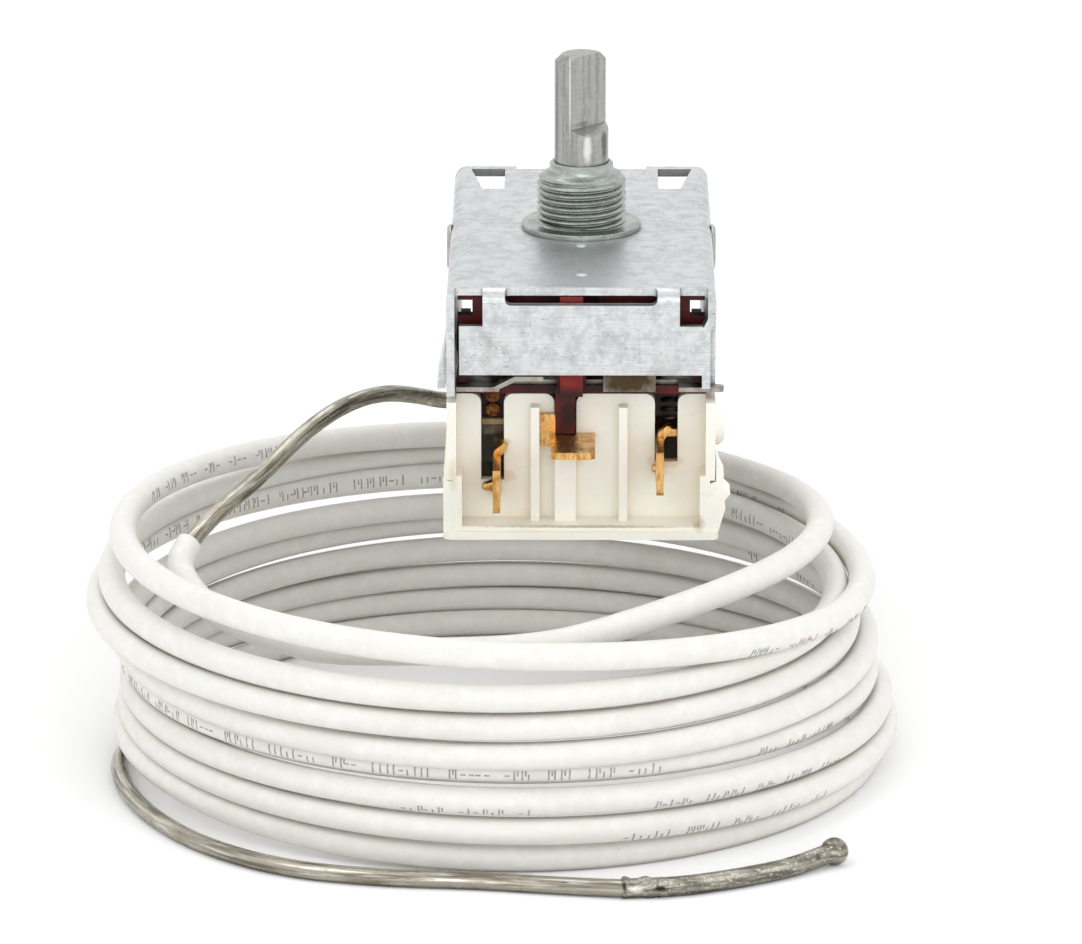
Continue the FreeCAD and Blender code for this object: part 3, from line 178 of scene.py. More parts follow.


# Rolled and folded steel under bright zinc plating: large pale and grey crystals, a satin gleam, faint rolling
# and handling scratches, and grey in the folds and corners, painted as dirt and shade. The scratches, finer
# than a pixel, are drawn coarser.
ZINC_SHEET = Finish(
    "zinc_plated_sheet", "#d5d7d7", 0.34, 1.0,
    layers=(
        Layer((1.7, 1.7, 1.7), "#b4babd", 0.42, 0.62, 0.7, 0.06),
        Layer((0.55, 0.55, 0.55), "#dfe3e4", 0.50, 0.64, 0.55, -0.04),
        Layer((5.0, 0.16, 0.16), "#a9adb0", 0.48, 0.70, 0.45, 0.07, 0.003),
        Layer((0.16, 6.0, 3.0), "#b4b7b9", 0.54, 0.74, 0.25, 0.05, 0.002),
        Layer((4.0, 4.0, 4.0), "#9d9b97", 0.60, 0.74, 0.30, 0.08),
        Layer((0.5, 0.22, 0.22), "#6f6e69", 0.65, 0.72, 0.6, 0.1),
    ),
    crevice="#4c4945", crevice_reach=0.7, crevice_amount=0.75,
    bevel=0.13,
)
# Turned steel under the same plating, in grey-green clouds, with painted shade and dirt dark between the
# threads;
# it glints on their crests.
ZINC_BUSH = Finish(
    "zinc_plated_turned_steel", "#aeb3af", 0.27, 1.0,
    layers=(
        Layer((2.2, 2.2, 0.5), "#7f8681", 0.45, 0.68, 0.6, 0.1),
        Layer((0.35, 0.35, 0.35), "#d0d2ca", 0.56, 0.70, 0.5, 0.05),
        Layer((0.5, 0.5, 0.12), "#5f635c", 0.58, 0.72, 0.5, 0.1),
    ),
    crevice="#2f302d", crevice_reach=0.45, crevice_amount=0.9,
)
# Aluminium, turned and then milled flat: painted reflections as long bright and dark streaks up the shaft, a
# painted highlight along the flat's worn left edge, painted shade down its left side, small nicks, and grey
# smears at the foot of the flat. The rings of the turning tool, finer than a pixel, are drawn coarser.
SPINDLE_METAL = Finish(
    "turned_aluminium", "#a9aaa7", 0.3, 1.0,
    layers=(
        Layer((6, 6, 0.12), "#8f8f8d", 0.45, 0.7, 0.35, 0.08, 0.003),
        # Painted reflections: long dark streaks up the shaft.
        Layer((0.5, 0.5, 14.0), "#7d7d7b", 0.46, 0.66, 0.5, 0.05),
        Layer((0.6, 0.6, 1.2), "#bdbcb8", 0.5, 0.7, 0.45, 0.1),
        Layer((0.3, 0.3, 0.3), "#6f6e6a", 0.62, 0.74, 0.5, 0.1, 0.01),
    ),
    spots=(
        # A painted highlight along the flat's worn left edge, a painted bright and a painted dark streak on
        # the shank, and painted shade down the left side; then grey smears at the foot of the flat and near
        # its top.
        Spot((-1.28, -2.7, 15.6), (0.11, 1.6, 7.0), "#eeeeec", 0.8),
        Spot((0.7, -2.9, 9.1), (0.6, 1.0, 2.4), "#efefee", 0.8),
        Spot((2.55, -1.6, 9.3), (0.4, 1.4, 3.0), "#55534f", 0.8),
        Spot((-2.75, -1.2, 12.0), (0.3, 1.4, 11.0), "#6a6966", 0.7),
        Spot((1.0, -2.0, 11.5), (1.7, 1.6, 0.55), "#4b4844", 0.8),
        Spot((0.6, -2.0, 17.4), (0.9, 1.2, 0.45), "#77756f", 0.6),
    ),
    crevice="#55534f", crevice_reach=0.5, crevice_amount=0.6,
    bevel=0.1,
)
# Bare pressed steel with a film of old oil: brown-grey clouds, and painted shade near black where the parts
# close up.
PLAIN_STEEL = Finish(
    "oiled_plain_steel", "#8d877c", 0.4, 1.0,
    layers=(
        Layer((1.5, 1.5, 1.5), "#5f574b", 0.45, 0.7, 0.6, 0.12),
        Layer((0.4, 0.4, 0.4), "#aaa599", 0.52, 0.7, 0.4, -0.05),
    ),
    crevice="#1b1611", crevice_reach=3.0, crevice_amount=0.92,
    bevel=0.06,
)
# Bright drawn and headed steel: an even satin grey with a few dull specks.
STUD_STEEL = Finish(
    "bright_steel", "#b9b8b4", 0.33, 1.0,
    layers=(
        Layer((1.0, 1.0, 1.0), "#8a8781", 0.45, 0.7, 0.5, 0.1),
        Layer((0.3, 0.3, 0.3), "#5f5b54", 0.62, 0.74, 0.5, 0.1),
    ),
    crevice="#3a3631", crevice_reach=0.6, crevice_amount=0.8,
    bevel=0.08,
)
# Thin cold-rolled strip, tarnished: a pale face gone brown in clouds, and a dark brown patch in the middle
# under the frame, painted as tarnish and as the frame's shade.
STRIP_STEEL = Finish(
    "tarnished_strip_steel", "#a9a59c", 0.38, 1.0,
    layers=(
        Layer((1.3, 1.3, 1.3), "#6c6254", 0.45, 0.7, 0.6, 0.12),
        Layer((0.4, 0.4, 0.4), "#c6c2b8", 0.52, 0.7, 0.4, -0.05),
    ),
    # Painted shade and tarnish: the dark brown patch in the middle of the strip, under the frame.
    spots=(Spot((5.2, -26.0, -10.8), (5.2, 9.0, 3.6), "#44361f", 0.95),),
    crevice="#241d14", crevice_reach=1.6, crevice_amount=0.85,
    bevel=0.06,
)
# Stamped brass, worn by plugging: golden, with bright and brown wipes along the blades and pale rubbed spots.
# The wipes are bundles of scratches finer than a pixel, drawn coarser.
BRASS = Finish(
    "worn_brass", "#deab64", 0.27, 1.0,
    layers=(
        Layer((1.0, 1.0, 1.0), "#a36c34", 0.45, 0.62, 0.6, 0.12),
        Layer((0.16, 1.2, 1.6), "#f2d8a4", 0.52, 0.66, 0.6, 0.03),
        Layer((0.14, 1.2, 1.2), "#7a4c22", 0.62, 0.74, 0.5, 0.1, 0.006),
        Layer((0.3, 0.3, 0.3), "#f4dfb6", 0.64, 0.74, 0.5, -0.05),
    ),
    crevice="#6e4520", crevice_reach=0.7, crevice_amount=0.45,
    bevel=0.08,
)
# Old copper alloy, dark with oxide: brown, with painted shade that turns it almost black in its slot.
COPPER = Finish(
    "dark_copper_alloy", "#8d5a33", 0.34, 1.0,
    layers=(Layer((0.5, 0.5, 0.5), "#3a2212", 0.42, 0.62, 0.8, 0.15),),
    crevice="#120904", crevice_reach=2.6, crevice_amount=0.9,
    bevel=0.05,
)
# Compression-moulded phenolic with mineral filler: a dull dark red, cloudy, with painted shade that turns it
# black where the frame shades it.
RED_PHENOLIC = Finish(
    "red_phenolic", "#861f1a", 0.42,
    layers=(Layer((1.2, 1.2, 1.2), "#56100f", 0.45, 0.75, 0.5, 0.1, 0.004),),
    spots=(
        # Painted shadows: near black on the lower front rib, and dark along the base's front edge, in the
        # frame's shade.
        Spot((-1.2, -25.5, -15.4), (2.8, 6.0, 3.8), "#1c0303", 0.95),
        Spot((0.0, -25.0, -12.7), (18.0, 7.0, 1.25), "#2a0606", 0.94),
    ),
    crevice="#0d0202", crevice_reach=3.4, crevice_amount=0.96,
    ior=1.6, specular=0.22, bevel=0.12,
)
# Injection-moulded nylon, yellowed by age: ivory that glows softly at its edges, with tan handling stains,
# brass dust at the roots of the blades, a dirty parting line, painted shade and yellowing in its corners, and
# painted shade near black inside, behind the outer blade slots. Its speckle, finer than a pixel, is drawn
# coarser.
WHITE_NYLON = Finish(
    "ivory_nylon", "#f9f7ed", 0.46,
    layers=(
        Layer((7, 7, 7), "#f1ecdc", 0.5, 0.75, 0.45),
        Layer((0.7, 0.7, 0.7), "#fdfcf6", 0.5, 0.7, 0.3, 0.05, 0.006),
        Layer((2.6, 2.6, 1.0), "#dfd4b2", 0.64, 0.8, 0.3),
        Layer((0.45, 0.45, 0.45), "#b7a67e", 0.70, 0.78, 0.35),
    ),
    spots=(
        Spot((-8.9, -23.4, -18.75), (1.5, 1.5, 0.5), "#c9a95c", 0.75),
        Spot((-13.9, -27.0, -21.5), (0.7, 2.0, 2.4), "#d3c39a", 0.45),
        Spot((12.9, -26.5, -27.0), (0.9, 2.0, 1.2), "#a8925e", 0.5),
        Spot((0.4, -27.6, -27.35), (17.0, 1.4, 0.16), "#7d7058", 0.8),
        Spot((12.3, -26.9, -23.4), (0.35, 1.5, 2.6), "#8d8168", 0.55),
        Spot((-8.9, -22.6, -22.6), (2.2, 1.6, 1.1), "#c98f52", 0.5),
        Spot((9.2, -22.6, -20.9), (2.4, 1.6, 1.2), "#c98f52", 0.55),
        Spot((-1.6, -23.4, -20.6), (2.6, 1.6, 1.4), "#e0c58e", 0.5),
        # Painted shade: near black inside the housing, behind the left and right blade slots.
        Spot((-9.6, -15.0, -17.0), (5.0, 8.0, 9.0), "#1e120a", 0.97),
        Spot((9.6, -15.0, -17.0), (5.0, 8.0, 9.0), "#1e120a", 0.97),
    ),
    crevice="#eadfbf", crevice_reach=1.2, crevice_amount=0.42,
    ior=1.53, subsurface=0.2,
    bevel=0.22,
)
# Pressed board: a matt tan with darker clouds.
FIBRE = Finish("tan_fibre", "#a98f63", 0.7, layers=(Layer((0.8, 0.8, 0.8), "#7d6542", 0.45, 0.7, 0.5),))
# Tinned copper tube, drawn through a die: dark and bright streaks along its length, which follow its bends.
# The die lines are finer than a pixel and are drawn coarser.
TUBE_METAL = Finish(
    "drawn_tube", "#b3aea0", 0.24, 1.0,
    layers=(
        Layer((11.0, 0.8, 1.0), "#645d4e", 0.46, 0.60, 0.75, 0.08),
        Layer((5.0, 0.35, 1.0), "#e6e3da", 0.52, 0.64, 0.55, -0.05),
        Layer((2.5, 2.5, 1.0), "#958f80", 0.52, 0.7, 0.4, 0.12),
        Layer((1.2, 0.2, 1.0), "#575043", 0.60, 0.70, 0.55, 0.1, 0.01),
    ),
    wrap=(76.0, 6.0),
    crevice="#4a4438", crevice_reach=0.8, crevice_amount=0.6,
)
# Tube flattened, folded over and soldered: grey, with dark streaks, dark pits, dark patches at the joint's
# lip, at its end and near the bulb's far end, and painted highlights: small bright glints and one bright
# patch.
BULB_METAL = Finish(
    "soldered_tube", "#a8a499", 0.24, 1.0,
    layers=(
        Layer((4.5, 2.5, 0.45), "#5a5548", 0.44, 0.60, 0.75, 0.10, 0.01),
        # Painted highlights: small bright glints.
        Layer((0.5, 0.4, 0.22), "#e9e6dd", 0.56, 0.68, 0.6, -0.06, 0.015),
        Layer((0.18, 0.18, 0.18), "#37332a", 0.58, 0.70, 0.5, 0.12, 0.02),
    ),
    spots=(
        Spot((25.0, -59.6, -53.4), (0.5, 1.2, 0.45), "#1f1b15", 0.95),
        Spot((8.4, -68.2, -53.9), (1.0, 1.2, 0.4), "#1c1812", 0.95),
        Spot((4.6, -68.4, -53.7), (0.35, 1.0, 0.9), "#2b2720", 0.85),
        # A painted highlight: a bright patch on the joint.
        Spot((5.9, -68.6, -54.0), (0.9, 1.0, 0.5), "#eae7de", 0.85),
    ),
    crevice="#2e2a22", crevice_reach=0.8, crevice_amount=0.7,
)
# Extruded flexible sleeving: a soft near white with a low sheen, slightly uneven, with grey handling specks.
# Its grain, finer than a pixel, is drawn coarser.
SLEEVE = Finish(
    "white_sleeving", "#e9e8e3", 0.42,
    layers=(
        Layer((14, 14, 5), "#e2e0da", 0.45, 0.7, 0.6),
        Layer((1.6, 1.6, 1.6), "#f3f2ef", 0.45, 0.7, 0.5, 0.06, 0.03),
        Layer((0.7, 0.7, 0.7), "#b3b0a7", 0.70, 0.78, 0.35),
    ),
    crevice="#b5b0a4", crevice_reach=1.0, crevice_amount=0.55,
    ior=1.45, subsurface=0.12,
)
# Ink rolled on the sleeve: matt grey, half worn off in patches.
PRINT_INK = Finish(
    "grey_printing_ink", "#9c9b99", 0.6,
    layers=(Layer((0.6, 0.6, 0.6), "#c3c1bd", 0.45, 0.65, 0.8),),
)
# Matt paper or paint, without any pattern, since it only carries the object.
FLOOR_PAINT = Finish("pale_floor", "#f6f6f6", 0.8)

NODE_FINISHES = {
    "frame_bracket": ZINC_SHEET, "threaded_bush": ZINC_BUSH, "spindle": SPINDLE_METAL,
    "switch_base": RED_PHENOLIC, "insulating_pusher": RED_PHENOLIC,
    "terminal_housing": WHITE_NYLON, "bottom_cover": WHITE_NYLON,
    "terminal_left": BRASS, "terminal_right": BRASS, "terminal_centre": BRASS,
    "pivot_studs": STUD_STEEL, "bellows_cup": STUD_STEEL, "element_cover": STUD_STEEL,
    "retaining_strip": STRIP_STEEL,
    "range_nut": BRASS, "stop_screw": BRASS, "bellows": BRASS, "plunger": BRASS,
    "contact_leaf": COPPER, "moving_contact": COPPER, "fixed_contact": COPPER,
    "contact_rivets": COPPER, "capillary_ferrule": COPPER, "insulating_strip": FIBRE,
    "sensing_bulb": BULB_METAL,
}


def emptied(owner: bpy.types.ID) -> bpy.types.NodeTree:
    """Gives a material or world an empty node tree.

    Args:
        owner: Material or world.

    Returns:
        Its node tree.
    """
    owner.use_nodes = True
    owner.node_tree.nodes.clear()
    return owner.node_tree


def add_node(tree: bpy.types.NodeTree, kind: str, settings: dict | None = None,
             **inputs: object) -> bpy.types.Node:
    """Adds a shader node, sets its settings and feeds its inputs.

    Args:
        tree: Node tree to add to.
        kind: Node type.
        settings: Properties of the node.
        inputs: Values or output sockets, keyed by socket name, with underscores for spaces, or by i and the
            socket's number.

    Returns:
        The new node.
    """
    node = tree.nodes.new(kind)
    for key, value in (settings or {}).items():
        setattr(node, key, value)
    for key, value in inputs.items():
        socket = node.inputs[int(key[1:]) if key[1:].isdigit() else key.replace("_", " ")]
        if isinstance(value, bpy.types.NodeSocket):
            tree.links.new(value, socket)
        else:
            socket.default_value = value
    return node


def tinted(tree: bpy.types.NodeTree, base: object, tint: str, reading: bpy.types.NodeSocket,
           edge: tuple[float, float], amount: float) -> bpy.types.NodeSocket:
    """Lays a tint over a colour, as far as a reading says.

    Args:
        tree: Node tree to add to.
        base: Colour below, as a value or socket.
        tint: Colour of the tint.
        reading: Socket that says where the tint lies.
        edge: Readings at which the tint starts and is full.
        amount: Share of the tint where it is full.

    Returns:
        Output socket of the colour.
    """
    share = add_node(tree, "ShaderNodeMapRange", Value=reading, From_Min=edge[0], From_Max=edge[1],
                     To_Max=amount).outputs[0]
    mix = add_node(tree, "ShaderNodeMix", {"data_type": "RGBA"}, i0=share, i6=base, i7=linear(tint))
    return mix.outputs[2]


class MaterialShop:
    """Makes each finish's material once and hands it out."""

    def __init__(self) -> None:
        """Starts with no materials."""
        self.made: dict[str, bpy.types.Material] = {}

    def get(self, finish: Finish) -> bpy.types.Material:
        """Gives the material of a finish.

        Args:
            finish: Finish wanted.

        Returns:
            Its Blender material.
        """
        if finish.name not in self.made:
            self.made[finish.name] = self._make(finish)
        return self.made[finish.name]

    def _make(self, finish: Finish) -> bpy.types.Material:
        """Makes the material of a finish.

        Args:
            finish: Finish to make.

        Returns:
            The new material.
        """
        material = bpy.data.materials.new(finish.name)
        tree = emptied(material)
        place = add_node(tree, "ShaderNodeTexCoord").outputs["UV" if finish.wrap else "Object"]
        if finish.wrap:
            place = add_node(tree, "ShaderNodeVectorMath", {"operation": "MULTIPLY"}, i0=place,
                             i1=Vector((*finish.wrap, 0.0)) * MM).outputs[0]
        colour = linear(finish.colour)
        rough = finish.roughness
        relief = {}
        for layer in finish.layers:
            size = Vector([1 / (side * MM) for side in layer.size])
            spread = add_node(tree, "ShaderNodeVectorMath", {"operation": "MULTIPLY"}, i0=place, i1=size)
            pattern = add_node(tree, "ShaderNodeTexNoise", Vector=spread.outputs[0], Scale=1.0,
                               Detail=NOISE_DETAIL).outputs[0]
            reading = {"Value": pattern, "From_Min": layer.low, "From_Max": layer.high}
            if layer.amount:
                colour = tinted(tree, colour, layer.colour, pattern, (layer.low, layer.high), layer.amount)
            if layer.gloss:
                change = add_node(tree, "ShaderNodeMapRange", To_Max=layer.gloss, **reading)
                rough = add_node(tree, "ShaderNodeMath", i0=rough, i1=change.outputs[0]).outputs[0]
            if layer.relief:
                height = add_node(tree, "ShaderNodeMapRange", **reading)
                bump = add_node(tree, "ShaderNodeBump", Distance=layer.relief * MM, Height=height.outputs[0],
                                **relief)
                relief = {"Normal": bump.outputs[0]}
        # Patches: stains, painted shade and painted highlights.
        for spot in finish.spots:
            reading = self._spot_distance(tree, spot, place)
            colour = tinted(tree, colour, spot.colour, reading, SPOT_EDGE, spot.amount)
        # Painted shade and dirt: the crevice colour darkens corners and gaps, as far as they see little sky.
        if finish.crevice:
            sky = add_node(tree, "ShaderNodeAmbientOcclusion", {"samples": CREVICE_RAYS},
                           Distance=finish.crevice_reach * MM).outputs["AO"]
            colour = tinted(tree, colour, finish.crevice, sky, CREVICE_EDGE, finish.crevice_amount)
        shader = add_node(tree, "ShaderNodeBsdfPrincipled", Base_Color=colour, Roughness=rough,
                          Metallic=finish.metallic, IOR=finish.ior, Specular_IOR_Level=finish.specular,
                          Subsurface_Weight=finish.subsurface, Subsurface_Scale=SCATTER_DEPTH * MM, **relief)
        add_node(tree, "ShaderNodeOutputMaterial", Surface=shader.outputs[0])
        return material

    @staticmethod
    def _spot_distance(tree: bpy.types.NodeTree, spot: Spot,
                       place: bpy.types.NodeSocket) -> bpy.types.NodeSocket:
        """Reads how far a place is from a patch's centre, with a ragged edge.

        Args:
            tree: Node tree to add to.
            spot: The patch.
            place: Socket of the place on the surface.

        Returns:
            Socket that is zero at the centre and about one at the patch's half sizes.
        """
        offset = add_node(tree, "ShaderNodeVectorMath", {"operation": "SUBTRACT"}, i0=place,
                          i1=Vector(spot.centre) * MM).outputs[0]
        unit = add_node(tree, "ShaderNodeVectorMath", {"operation": "MULTIPLY"}, i0=offset,
                        i1=Vector([1 / (reach * MM) for reach in spot.reach])).outputs[0]
        length = add_node(tree, "ShaderNodeVectorMath", {"operation": "LENGTH"}, i0=unit).outputs["Value"]
        grain = add_node(tree, "ShaderNodeTexNoise", Vector=place, Scale=1 / (SPOT_GRAIN * MM)).outputs[0]
        ragged = add_node(tree, "ShaderNodeMath", {"operation": "MULTIPLY"}, i0=grain, i1=SPOT_RAGGED)
        return add_node(tree, "ShaderNodeMath", i0=length, i1=ragged.outputs[0]).outputs[0]


# Cords


class FarEnd(Enum):
    """What is on a cord's far end."""

    OBJECT = "object"
    FITTING = "fitting"
    BARE = "bare"


class Lay(Enum):
    """How a cord lies."""

    LOOSE = "loose"
    COILED = "coiled"


@dataclass(frozen=True)
class Turn:
    """One turn of the coil, from its left side round the front, right and back.

    Attributes:
        left, front, right, back: Share of the nominal half axes, and height in mm, at each side.
    """

    left: tuple[float, float]
    front: tuple[float, float]
    right: tuple[float, float]
    back: tuple[float, float]


# The coil's middle and nominal half axes in mm, its points to a quarter turn, and where it starts and ends.
COIL_CENTRE = Vector((-8.5, -19.6, 0.0))
HALF_WIDTH = 42.0
HALF_DEPTH = 41.0
STEPS_PER_QUARTER = 5
FIRST_BACK = (1.015, -31.4)
TURNS = (
    Turn((0.998, -29.4), (1.0, -30.9), (0.94, -35.4), (1.04, -33.9)),
    Turn((1.029, -34.2), (1.02, -35.4), (0.87, -36.2), (1.0, -36.1)),
    Turn((1.062, -36.9), (1.015, -38.6), (0.90, -39.3), (0.99, -39.6)),
    Turn((1.0, -40.3), (1.02, -41.8), (0.95, -41.9), (1.04, -41.9)),
    Turn((0.981, -43.2), (0.966, -44.0), (0.952, -45.4), (1.015, -45.2)),
    Turn((0.976, -46.2), (1.01, -46.9), (0.99, -48.4), (1.015, -48.4)),
    Turn((0.983, -48.9), (1.01, -50.2), (1.005, -51.3), (1.0, -51.3)),
    Turn((1.0, -51.2), (0.98, -53.6), (0.969, -53.7), (0.965, -53.7)),
)
COIL_END = (0.96, -53.7)

# Control points of the three cords in mm, along the solids' routes.
SLEEVE_START = (
    (-43.2, -19.0, -31.9), (-44.66, -21.39, -33.22), (-42.6, -27.4, -34.6), (-40.2, -32.4, -35.2),
    (-35.8, -38.3, -35.4), (-31.4, -43.9, -34.9), (-27.0, -49.3, -34.3), (-16.2, -52.0, -33.4),
    (-8.5, -53.2, -32.8), (-1.5, -52.2, -32.3), (6.9, -48.3, -30.9), (15.4, -41.3, -30.1),
    (22.0, -33.0, -29.8), (25.8, -23.5, -29.9), (26.8, -14.0, -30.3), (25.6, -3.6, -31.2),
    (21.6, 7.0, -32.2), (14.6, 15.6, -32.6), (4.0, 21.2, -32.0),
)
LEAD_POINTS = (
    (-13.5, 14.0, -25.0), (-16.1, 14.0, -25.0), (-18.3, 13.2, -24.2), (-22.7, 9.6, -22.7),
    (-27.1, 4.2, -22.7), (-31.6, -2.0, -24.4), (-36.2, -9.0, -27.6), (-41.0, -15.4, -29.9),
    (-43.2, -19.0, -31.9),
)
TAIL_POINTS = (
    (-48.6, -18.6, -53.4), (-50.9, -24.6, -54.1), (-50.4, -33.8, -54.25), (-46.9, -44.4, -54.25),
    (-40.6, -54.3, -54.25), (-31.5, -61.6, -54.25), (-20.9, -64.4, -54.25), (-10.5, -65.1, -54.25),
    (-2.0, -66.7, -54.25), (4.7, -67.6, -54.15),
)


def eased(keys: list[tuple[float, float]], place: float) -> tuple[float, float]:
    """Reads a smooth cubic curve through evenly spaced keys.

    Args:
        keys: Pairs of share and height.
        place: Position along the keys, where whole numbers are keys.

    Returns:
        Share and height at that position.
    """
    index = min(int(place), len(keys) - 2)
    part = place - index
    before, start, end, after = (keys[max(0, min(len(keys) - 1, index + step))] for step in (-1, 0, 1, 2))
    return tuple(
        0.5 * (2 * b + (c - a) * part + (2 * a - 5 * b + 4 * c - d) * part ** 2
               + (3 * b - a - 3 * c + d) * part ** 3)
        for a, b, c, d in zip(before, start, end, after))


def coil_points() -> list[Vector]:
    """Works out the control points of the coil's turns.

    Returns:
        Points in mm, from the first turn's back to the sleeve's end.
    """
    keys = [FIRST_BACK]
    for turn in TURNS:
        keys.extend((turn.left, turn.front, turn.right, turn.back))
    keys.append(COIL_END)
    step_angle = math.pi / 2 / STEPS_PER_QUARTER
    # A quadratic spline runs inside its control points, so they stand this much further out.
    outset = 8 / (6 + 2 * math.cos(step_angle))
    points = []
    for step in range((len(keys) - 1) * STEPS_PER_QUARTER + 1):
        share, height = eased(keys, step / STEPS_PER_QUARTER)
        angle = math.pi / 2 + step * step_angle
        points.append(Vector((
            COIL_CENTRE.x + HALF_WIDTH * share * outset * math.cos(angle),
            COIL_CENTRE.y + HALF_DEPTH * share * outset * math.sin(angle),
            height)))
    return points


def placed(name: str, data: bpy.types.ID) -> bpy.types.Object:
    """Puts data into the scene as an object.

    Args:
        name: Name of the object.
        data: Its mesh, curve, light or camera.

    Returns:
        The new object.
    """
    piece = bpy.data.objects.new(name, data)
    bpy.context.scene.collection.objects.link(piece)
    return piece


def make_cord(name: str, points: tuple, diameter: float) -> bpy.types.Object:
    """Makes a round cord as a smooth NURBS curve.

    Args:
        name: Name of the piece.
        points: Control points in mm.
        diameter: Its diameter in mm.

    Returns:
        The curve object.
    """
    curve = bpy.data.curves.new(name, "CURVE")
    curve.dimensions = "3D"
    spline = curve.splines.new("NURBS")
    spline.points.add(len(points) - 1)
    for slot, point in zip(spline.points, points):
        slot.co = (*(Vector(point) * MM), 1.0)
    spline.order_u = 3
    spline.use_endpoint_u = True
    spline.resolution_u = CORD_STEPS
    curve.bevel_depth = diameter / 2 * MM
    curve.bevel_resolution = CORD_STEPS
    curve.use_fill_caps = True
    return placed(name, curve)


def cord_centreline(cord: bpy.types.Object) -> list[Vector]:
    """Reads the points of a cord's smooth route.

    Args:
        cord: Curve object.

    Returns:
        Points along its centreline, in mm.
    """
    plain = placed("plain_route", cord.data.copy())
    plain.data.bevel_depth = 0.0
    mesh = bpy.data.meshes.new_from_object(plain)
    points = [vertex.co / MM for vertex in mesh.vertices]
    bpy.data.objects.remove(plain)
    bpy.data.meshes.remove(mesh)
    return points


@dataclass(frozen=True)
class MarkRun:
    """A stretch of the sleeve that carries plain printed dashes.

    Attributes:
        start: Its start, in quarter turns of the coil from the first turn's back.
        end: Its end, in quarter turns.
        lift: Height of the dashes' middle on the sleeve, in degrees above its side.
        outward: Whether they face away from the coil's middle.
    """

    start: float
    end: float
    lift: float
    outward: bool


